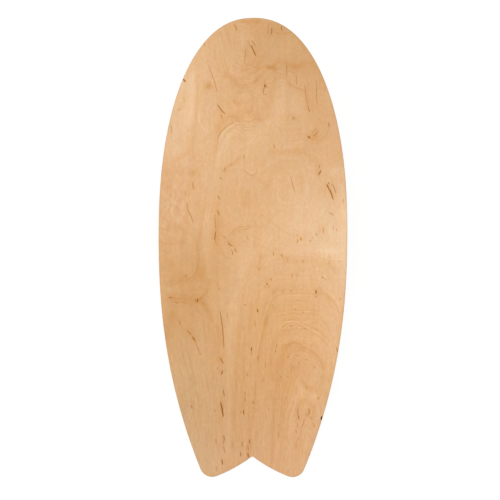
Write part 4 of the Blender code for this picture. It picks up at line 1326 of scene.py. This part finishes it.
# What the finishes read from the deck's points. An edge's fibres are end on where its outline runs across.
place = (places_of(deck) - deck_origin) @ deck_axes.T
ahead, right = place[:, 0] / MM, -place[:, 1] / MM
write_layer(deck, "deck_place", place)
write_layer(deck, "fibre_place", np.stack((place[:, 0], -fan(ahead, right) * MM, 0 * ahead), -1))
write_layer(deck, "growth_ring", growth_rings(ahead, right))
write_layer(deck, "face_tone", face_tone(ahead, right))
write_layer(deck, "ring_strength", np.maximum(0.30 + mounds(RING_PATCHES, ahead, right), 0))
write_layer(deck, "curl", mounds(CURL_PATCHES, ahead, right))
write_layer(deck, "bark", mounds(BARK_SPOTS, ahead, right))
for layer in range(STROKE_LAYERS):
    write_layer(deck, f"ring_line_{layer}", strokes_near(RING_LINES[layer::STROKE_LAYERS], ahead, right))
    write_layer(deck, f"fleck_{layer}", strokes_near(FLECKS[layer::STROKE_LAYERS], ahead, right))
bearing = np.arctan2(place[:, 1], place[:, 0] - SPINE_TAIL)
edge_bearing = np.arctan2(outline[:, 1], outline[:, 0] - SPINE_TAIL)
write_layer(deck, "end_on", np.interp(bearing, edge_bearing, out[:, 0] ** 2, period=2 * math.pi))
fasten(deck, "board", "birch_plywood", "deck")


# The stops: two battens of planed beech across the underside, one near each end, that the roller runs up
# against. Their ends are rounded and their lower edges eased, and each has four countersunk holes.
STOP_FROM_MIDDLE = 0.285
STOP_WIDTH = 0.030
STOP_END_RADIUS = 0.008
STOP_EDGE_RADIUS = 0.003
STOP_THICKNESS = 0.015
SEAT_GAP = 0.0003
STOP_END_STEPS = 12
HEAD_RADIUS = 0.004
HEAD_RIM = 0.0005
SHANK_RADIUS = 0.002
DRILL_LEAD = 0.002
DRILL_DEPTH = 0.016
DRILL_SIDES = 48
ENDS = (("nose", 1), ("tail", -1))
SCREWS = (1, 2, 3, 4)

batten = Finish("planed_beech", Roughness=0.5, Specular_IOR_Level=0.35)
place = batten.layer("deck_place", "Vector")
ring = batten.sum("MULTIPLY", batten.noise(place, (60, 2.4, 60), 1), 16.0)
share = batten.sum("FRACT", batten.swung(ring, place, (200, 30, 200), 0.4))
dark = batten.sum("MULTIPLY", batten.fade(share, 0.4, 1.0), 0.12)
dashes = batten.noise(place, (2600, 380, 2600), 1)
dark = batten.sum("MULTIPLY_ADD", batten.fade(dashes, 0.60, 0.72), 0.26, dark)
dark = batten.swung(dark, place, (500, 14, 500), 0.30, 3)
dark = batten.swung(dark, place, (70, 9, 70), 0.25, 3)
wood = batten.darken(colour(203, 156, 116), dark, 0.7, 1.0, 1.3)
batten.paint(wood, batten.noise(place, (900, 20, 900), 2), 0.03 * MM)


def rounded_bar(length, width, radius, steps):
    """Corners of a bar with its long way across, and their outward vectors: four quarter circles in turn."""
    turn = np.linspace(0, math.pi / 2, steps)
    turn = (turn + np.arange(4)[:, None] * math.pi / 2).ravel()
    out = np.stack((np.cos(turn), np.sin(turn)), -1)
    signs = np.repeat(((1, 1), (-1, 1), (-1, -1), (1, -1)), steps, axis=0)
    return signs * (width / 2 - radius, length / 2 - radius) + radius * out, out


def spun(radii, heights, sides, foot, axis, start):
    """Rings of a turned piece about an axis through its foot, each at its height and its radius or radii."""
    axis = np.array(axis) / np.linalg.norm(axis)
    start = np.array(start) - np.dot(start, axis) * axis
    start /= np.linalg.norm(start)
    turn = np.linspace(0, 2 * math.pi, sides, endpoint=False)
    around = np.cos(turn)[:, None] * start + np.sin(turn)[:, None] * np.cross(axis, start)
    radii = np.broadcast_to(np.asarray(radii, float).reshape(len(heights), -1), (len(heights), sides))
    return np.array(foot) + radii[..., None] * around + np.asarray(heights)[:, None, None] * axis


def screw_foot(end, sign, n):
    """The middle of a screw's head face, which is sunk into the batten by the gap."""
    low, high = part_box(f"{end}_screw_{n}")
    return from_deck(np.array((sign * STOP_FROM_MIDDLE, (low.y + high.y) / 2, -STOP_THICKNESS)))


DRILL = (
    # radius and height above the head's face, from the foot of the hole up
    (0, -DRILL_LEAD),
    (HEAD_RADIUS + SEAT_GAP, -DRILL_LEAD),
    (HEAD_RADIUS + SEAT_GAP, HEAD_RIM + SEAT_GAP),
    (SHANK_RADIUS + SEAT_GAP, HEAD_RADIUS - SHANK_RADIUS + HEAD_RIM + SEAT_GAP),
    (SHANK_RADIUS + SEAT_GAP, DRILL_DEPTH),
    (0, DRILL_DEPTH),
)
drill_radii, drill_heights = np.array(DRILL).T
for end, sign in ENDS:
    low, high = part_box(f"{end}_stop")
    bar, bar_out = rounded_bar(high.y - low.y, STOP_WIDTH, STOP_END_RADIUS, STOP_END_STEPS)
    middle = np.array((sign * STOP_FROM_MIDDLE, 0))
    reach = (high.y - low.y - STOP_WIDTH) / 2
    spine = np.stack((np.zeros(len(bar)), np.clip(bar[:, 1], -reach, reach)), -1)
    lean = np.radians(np.linspace(90, 0, 8))
    eased = np.stack((1 - np.sin(lean), 1 - np.cos(lean)), -1) * STOP_EDGE_RADIUS
    rim = np.concatenate(([(0, -SEAT_GAP)], eased - (0, STOP_THICKNESS + SEAT_GAP)))
    rings = slab(bar + middle, bar_out, spine + middle, rim, 2, 3)
    stop = shell(f"{end}_batten", from_deck(rings), (batten.material,))
    for n in SCREWS:
        foot = screw_foot(end, sign, n)
        hole = shell("drill", spun(drill_radii, drill_heights, DRILL_SIDES, foot, deck_up, deck_along), ())
        cut = stop.modifiers.new("hole", "BOOLEAN")
        cut.operation, cut.solver, cut.object = "DIFFERENCE", "EXACT", hole
        cut_mesh = bpy.data.meshes.new_from_object(stop.evaluated_get(bpy.context.evaluated_depsgraph_get()))
        stop.modifiers.clear()
        stop.data = cut_mesh
        bpy.data.objects.remove(hole)
    stop.data.name = f"{end}_batten"
    stop.data.shade_smooth()
    stop.data.set_sharp_from_angle(angle=math.radians(35))
    write_layer(stop, "deck_place", (places_of(stop) - deck_origin) @ deck_axes.T)
    fasten(stop, "board", "beech", f"{end}_stop")


# The screws: eight countersunk wood screws, 4 by 25 mm, of zinc plated steel with a six lobed recess. They
# are rolled from wire: a smooth neck under the head, then a sharp thread that runs out at the point.
SCREW_LENGTH = 0.025
RECESS_RADIUS = 0.0021
RECESS_LOBE = 0.0004
RECESS_DEPTH = 0.0012
CORE_RADIUS = 0.00135
NECK_LENGTH = 0.0045
POINT_LENGTH = 0.0045
THREAD_PITCH = 0.0018
THREAD_STEPS = 9
SCREW_SIDES = 36

zinc = Finish("zinc_plated_steel", Metallic=1.0, Roughness=0.32)
place = zinc.node("TexCoord", {}, "Object")
cloud = zinc.noise(place, 700, 3)
zinc.feed(zinc.shader["Roughness"], zinc.fade(cloud, 0.3, 0.7, 0.25, 0.42))
plating = zinc.blend(cloud, colour(214, 214, 208), colour(188, 190, 186))
zinc.paint(plating, zinc.noise(place, 3000, 2), 0.012 * MM)


def wood_screw():
    """Radii and heights of a screw from the middle of its recess to its point.

    The recess wall is a circle with six lobes. The thread is a sharp ridge that climbs one pitch in each
    turn: its height above the core falls off evenly on both sides of the crest and fades in after the neck.
    """
    turn = np.linspace(0, 2 * math.pi, SCREW_SIDES, endpoint=False)
    lobed = RECESS_RADIUS - RECESS_LOBE * (1 - np.cos(6 * turn)) / 2
    cone = HEAD_RIM + HEAD_RADIUS - SHANK_RADIUS
    head = (
        # radius and height
        (0, RECESS_DEPTH + 0.0002),
        (0.6 * lobed, RECESS_DEPTH),
        (0.94 * lobed, RECESS_DEPTH),
        (lobed, RECESS_DEPTH - 0.00006),
        (lobed, 0.00008),
        (1.04 * lobed, 0),
        (HEAD_RADIUS - 0.00015, 0),
        (HEAD_RADIUS, 0.0001),
        (HEAD_RADIUS, HEAD_RIM),
        (SHANK_RADIUS + 0.0001, cone - 0.0001),
        (SHANK_RADIUS, cone + 0.0002),
    )
    climb = np.arange(cone + NECK_LENGTH, SCREW_LENGTH - 0.0001, THREAD_PITCH / THREAD_STEPS)
    taper = np.clip((SCREW_LENGTH - climb) / POINT_LENGTH, 0, 1) ** 0.75
    begun = np.clip((climb - climb[0]) / THREAD_PITCH, 0, 1)
    ridge = 1 - np.abs((climb[:, None] / THREAD_PITCH - turn / (2 * math.pi)) % 1 - 0.5) / 0.3
    core = (CORE_RADIUS + (SHANK_RADIUS - CORE_RADIUS) * np.clip(1 - 2 * begun, 0, 1)) * taper
    crest = np.clip(ridge, 0, 1) * ((SHANK_RADIUS - CORE_RADIUS) * begun * taper ** 0.5)[:, None]
    radii = [radius + 0 * turn for radius, _ in head]
    radii += list(np.minimum(core[:, None] + crest, SHANK_RADIUS)) + [0 * turn]
    return np.array(radii), np.concatenate(([height for _, height in head], climb, [SCREW_LENGTH]))


screw_radii, screw_heights = wood_screw()
for end, sign in ENDS:
    for n in SCREWS:
        stopped_at = n * 1.7 + sign
        start = deck_along * math.cos(stopped_at) + deck_across * math.sin(stopped_at)
        foot = screw_foot(end, sign, n)
        rings = spun(screw_radii, screw_heights, SCREW_SIDES, foot, deck_up, start)
        screw = shell(f"{end}_wood_screw_{n}", rings, (zinc.material,), crease=40)
        fasten(screw, "board", "zinc_steel", f"{end}_screw_{n}")


# The roller's core: a stiff tube wound from brown board in overlapping turns, glued into the cork. The plugs
# close it, so that none of it shows. Its own solid stays, with a board finish.
roller_middle = np.array(moves["roller_spin"]["pos_m"])
roller_axis = np.array(moves["roller_spin"]["axis"])

board = Finish("wound_brown_board", Roughness=0.85, Specular_IOR_Level=0.2)
place = board.vector("SUBTRACT", board.node("TexCoord", {}, "Object"), tuple(roller_middle))
angle = board.sum("ARCTAN2", board.part(place, "Z"), board.part(place, "X"))
winding = board.sum("MULTIPLY_ADD", board.part(place, "Y"), 12.0, board.sum("DIVIDE", angle, 2 * math.pi))
winding = board.sum("FRACT", winding)
seam = board.sum("ADD", board.fade(winding, 0.02, 0.0), board.fade(winding, 0.99, 1.0))
fibres = board.noise(place, 260, 5, 0.7)
wood = board.darken(colour(168, 134, 98), board.sum("MULTIPLY_ADD", fibres, 0.5, -0.25), 0.9, 1.0, 1.1)
board.paint(board.blend(seam, wood, colour(104, 78, 54)), board.sum("SUBTRACT", fibres, seam), 0.08 * MM)
core_finishes = frame["nodes"]["roller_core"].data.materials
core_finishes.clear()
core_finishes.append(board.material)


# The cork sleeve: granules of cork pressed with a binder into a thick tube, then sanded round. The granules
# differ in size and colour, some are near black bark, and a few have broken out and left small pits.
SLEEVE_RADIUS = 0.050
SLEEVE_BORE = 0.035
SLEEVE_LENGTH = 0.300
SLEEVE_EDGE = 0.003
SLEEVE_SIDES = 180
FACE_RINGS = 5
WALL_RINGS = 119
BORE_RINGS = 9
UNEVEN_WAVES = (5, 9, 14, 23)
UNEVEN = 0.00006

cork = Finish("pressed_cork", Roughness=0.8, Specular_IOR_Level=0.2)
place = cork.node("TexCoord", {}, "Object")
shaky = cork.node("TexNoise", {"Vector": place, "Scale": 260.0, "Detail": 2.0}, "Color")
shaky = cork.vector("MULTIPLY_ADD", shaky, (0.0022,) * 3, place)
coarse = {"Vector": shaky, "Scale": 250.0}
granule = {"Color": cork.node("TexVoronoi", coarse, "Color")}
own, other = [cork.node("SeparateColor", granule, channel) for channel in ("Red", "Green")]
joint = cork.node("TexVoronoi", coarse, feature="DISTANCE_TO_EDGE")
dark = cork.sum("MULTIPLY_ADD", own, 0.42, -0.2)
dark = cork.sum("ADD", dark, cork.fade(other, 0.90, 0.96, 0.0, 0.45))
dark = cork.sum("ADD", dark, cork.fade(joint, 0.10, 0.0, 0.0, 0.22))
dark = cork.swung(dark, place, 900, 0.5, 3, 0.7)
# The pits are sunk by the bump and also darkened in colour, which is painted shade in their hollows.
pit = cork.fade(cork.noise(place, 420, 1), 0.66, 0.74)
dark = cork.sum("MULTIPLY_ADD", pit, 0.35, dark)
rise = cork.sum("SUBTRACT", cork.fade(joint, 0.0, 0.12), cork.sum("MULTIPLY", pit, 1.6))
rise = cork.swung(rise, place, 1200, 0.5, 3, 0.7)
cork.paint(cork.darken(colour(196, 146, 98), dark, 0.85, 1.0, 1.2), rise, 0.22 * MM)

lean = np.linspace(0, math.pi / 2, 8)
edge_radii = SLEEVE_RADIUS - SLEEVE_EDGE * (1 - np.sin(lean))
edge_heights = SLEEVE_LENGTH / 2 - SLEEVE_EDGE * (1 - np.cos(lean))
face_radii = np.linspace(SLEEVE_BORE, SLEEVE_RADIUS - SLEEVE_EDGE, FACE_RINGS + 1)[:-1]
end_radii = np.concatenate((face_radii, edge_radii))
end_heights = np.concatenate((np.full(FACE_RINGS, SLEEVE_LENGTH / 2), edge_heights))
wall = np.linspace(-1, 1, WALL_RINGS + 2)[1:-1] * (SLEEVE_LENGTH / 2 - SLEEVE_EDGE)
bore = np.linspace(1, -1, BORE_RINGS) * SLEEVE_LENGTH / 2
outer = (end_radii, np.full(WALL_RINGS, SLEEVE_RADIUS), end_radii[::-1])
radii = np.concatenate((*outer, np.full(BORE_RINGS, SLEEVE_BORE)))
heights = np.concatenate((-end_heights, wall, end_heights[::-1], bore))

# Sanding has left it a little uneven: sines of four lengths, round it and along it, on all but the bore.
turn = np.linspace(0, 2 * math.pi, SLEEVE_SIDES, endpoint=False)
uneven = sum(np.sin(turn * n + 2.3 * n) * np.sin(heights[:, None] * 17 * n + n) for n in UNEVEN_WAVES)
sanded = np.arange(len(radii)) < len(radii) - BORE_RINGS
radii = radii[:, None] - UNEVEN * (uneven + 2) * sanded[:, None]
rings = spun(radii, heights, SLEEVE_SIDES, roller_middle, roller_axis, (1, 0, 0))
sleeve = shell("cork_tube", rings, (cork.material,))
fasten(sleeve, "roller", "cork", "cork_sleeve")


# The plugs: two turned birch plugs, glued into the core's ends with their flanges just inside the cork. Their
# grain runs across the face, the rim is chamfered, and the lathe has left fine rings and a small centre mark.
PLUG_FLANGE = 0.0347
PLUG_SPIGOT = 0.0284
PLUG_CHAMFER = 0.0008
PLUG_BEHIND = 0.001
PLUG_THICK = 0.006
PLUG_GROOVE = 0.0277
SPIGOT_LENGTH = 0.016
PLUG_SIDES = 160

turnery = Finish("turned_birch", Roughness=0.45, Specular_IOR_Level=0.35)
place = turnery.vector("SUBTRACT", turnery.node("TexCoord", {}, "Object"), tuple(roller_middle))
share = turnery.sum("FRACT", turnery.sum("MULTIPLY", turnery.noise(place, (5, 30, 30), 1), 26.0))
dark = turnery.sum("MULTIPLY", turnery.fade(share, 0.4, 0.95), 0.14)
dark = turnery.swung(dark, place, (22, 700, 700), 0.3, 3)
dark = turnery.swung(dark, place, (60, 160, 160), 0.2, 3)
from_axis = turnery.length(place, (1, 0, 1))
tool_marks = turnery.sum("SINE", turnery.sum("MULTIPLY", from_axis, 9000.0))
marked = turnery.sum("MULTIPLY_ADD", tool_marks, 0.15, turnery.noise(place, (40, 900, 900)))
turnery.paint(turnery.darken(colour(214, 172, 126), dark), marked, 0.03 * MM)

PLUG_PROFILE = (
    # radius and height from the flange's face inwards
    (0, 0.0006),
    (0.0006, 0.0003),
    (0.0010, 0),
    (0.0180, 0),
    (PLUG_FLANGE - PLUG_CHAMFER - 0.0004, 0),
    (PLUG_FLANGE - PLUG_CHAMFER, 0.00006),
    (PLUG_FLANGE - 0.00006, PLUG_CHAMFER),
    (PLUG_FLANGE, PLUG_CHAMFER + 0.0003),
    (PLUG_FLANGE, PLUG_THICK),
    (PLUG_SPIGOT, PLUG_THICK),
    (PLUG_SPIGOT, PLUG_THICK + 0.0055),
    (PLUG_GROOVE, PLUG_THICK + 0.0060),
    (PLUG_GROOVE, PLUG_THICK + 0.0090),
    (PLUG_SPIGOT, PLUG_THICK + 0.0095),
    (PLUG_SPIGOT, PLUG_THICK + SPIGOT_LENGTH - PLUG_CHAMFER),
    (PLUG_SPIGOT - PLUG_CHAMFER, PLUG_THICK + SPIGOT_LENGTH),
    (0, PLUG_THICK + SPIGOT_LENGTH),
)
plug_radii, plug_heights = np.array(PLUG_PROFILE).T
for hand, sign in (("left", 1), ("right", -1)):
    foot = roller_middle + sign * (SLEEVE_LENGTH / 2 - PLUG_BEHIND) * roller_axis
    rings = spun(plug_radii, plug_heights, PLUG_SIDES, foot, -sign * roller_axis, (1, 0, 0))
    plug = shell(f"birch_plug_{hand}", rings, (turnery.material,), crease=28)
    fasten(plug, "roller", "turned_birch", f"end_plug_{hand}")


# The studio: a white floor and soft white light from all round, with one broad lamp above. To the camera the
# floor is nearly clear over a white backdrop, and keeps a faint soft shadow. Its underside is open, so that
# the board shows from below, and the roller where it hangs lower than the tail.
WHITE = (1, 1, 1, 1)
FLOOR_REACH = 6.0
FLOOR_CLEAR = 0.91

white_floor = Finish("white_floor", Roughness=0.9, Specular_IOR_Level=0.1, Emission_Color=WHITE,
                     Base_Color=(0.86, 0.86, 0.86, 1))
seen = white_floor.node("LightPath", {}, "Is Camera Ray")
white_floor.feed(white_floor.shader["Emission Strength"], white_floor.sum("MULTIPLY_ADD", seen, 0.08, 0.25))
below = white_floor.node("NewGeometry", {}, "Backfacing")
clear = white_floor.sum("MAXIMUM", white_floor.sum("MULTIPLY", seen, FLOOR_CLEAR), below)
painted = white_floor.nodes["Principled BSDF"].outputs[0]
nothing = white_floor.node("BsdfTransparent", {"Color": WHITE})
both = white_floor.node("MixShader", {0: clear, 1: painted, 2: nothing})
white_floor.feed(white_floor.nodes["Material Output"].inputs["Surface"], both)
sheet = bpy.data.meshes.new("floor")
corners = [(x * FLOOR_REACH, y * FLOOR_REACH, 0) for x, y in ((-1, -1), (1, -1), (1, 1), (-1, 1))]
sheet.from_pydata(corners, [], [(0, 1, 2, 3)])
sheet.materials.append(white_floor.material)
floor = bpy.data.objects.new("floor", sheet)
bpy.context.scene.collection.objects.link(floor)

# The sky lights the board less brightly than it shows: to the camera and in reflections it is plain white.
world = bpy.data.worlds.new("studio")
bpy.context.scene.world = world
world.use_nodes = True
sky = Graph(world.node_tree)
daylight = sky.nodes["Background"]
sky.feed(daylight.inputs["Color"], WHITE)
sky.feed(daylight.inputs["Strength"], 0.62)
backdrop = sky.node("Background", {"Color": WHITE, "Strength": 1.0})
shown = 0.0
for rays in ("Is Camera Ray", "Is Glossy Ray", "Is Transmission Ray"):
    shown = sky.sum("MAXIMUM", shown, sky.node("LightPath", {}, rays))
mixed = sky.node("MixShader", {0: shown, 1: daylight.outputs[0], 2: backdrop})
sky.feed(sky.nodes["World Output"].inputs["Surface"], mixed)

# The lamp: a square one high over the deck, a little towards its nose and its left side, facing its middle.
LAMP_SIZE = 2.4
LAMP_POWER = 36.0
to_lamp = 2.6 * deck_up + 0.4 * deck_along + 0.5 * deck_across

light = bpy.data.lights.new("broad_lamp", "AREA")
light.size, light.energy = LAMP_SIZE, LAMP_POWER
lamp = bpy.data.objects.new("broad_lamp", light)
lamp.location = deck_origin + to_lamp
lamp.rotation_euler = mathutils.Vector(to_lamp).to_track_quat("Z", "Y").to_euler()
bpy.context.scene.collection.objects.link(lamp)

# The camera: square over the deck's top, nose up, with an 85 mm lens. The deck fills most of the frame's
# height and sits a few pixels up and right of its middle, turned by a sixth of a degree.
PICTURE = 500
DECK_SPAN = 459.8
RIGHT_OF_MIDDLE = 2.95
ABOVE_MIDDLE = 2.6
ROLL = math.radians(0.16)
LENS = 85.0
SENSOR = 36.0

lens = bpy.data.cameras.new("camera")
lens.lens, lens.sensor_width = LENS, SENSOR
away = DECK_LENGTH * LENS / SENSOR * PICTURE / DECK_SPAN
lens.shift_x, lens.shift_y = -RIGHT_OF_MIDDLE / PICTURE, -ABOVE_MIDDLE / PICTURE
camera = bpy.data.objects.new("camera", lens)
picture_up = math.cos(ROLL) * deck_along + math.sin(ROLL) * deck_across
picture_right = np.cross(picture_up, deck_up)
turned = mathutils.Matrix((picture_right, picture_up, deck_up)).transposed().to_4x4()
turned.translation = deck_origin + (away + DECK_THICKNESS) * deck_up
camera.matrix_world = turned
bpy.context.scene.collection.objects.link(camera)
bpy.context.scene.camera = camera
bpy.context.scene.view_settings.view_transform = "Standard"
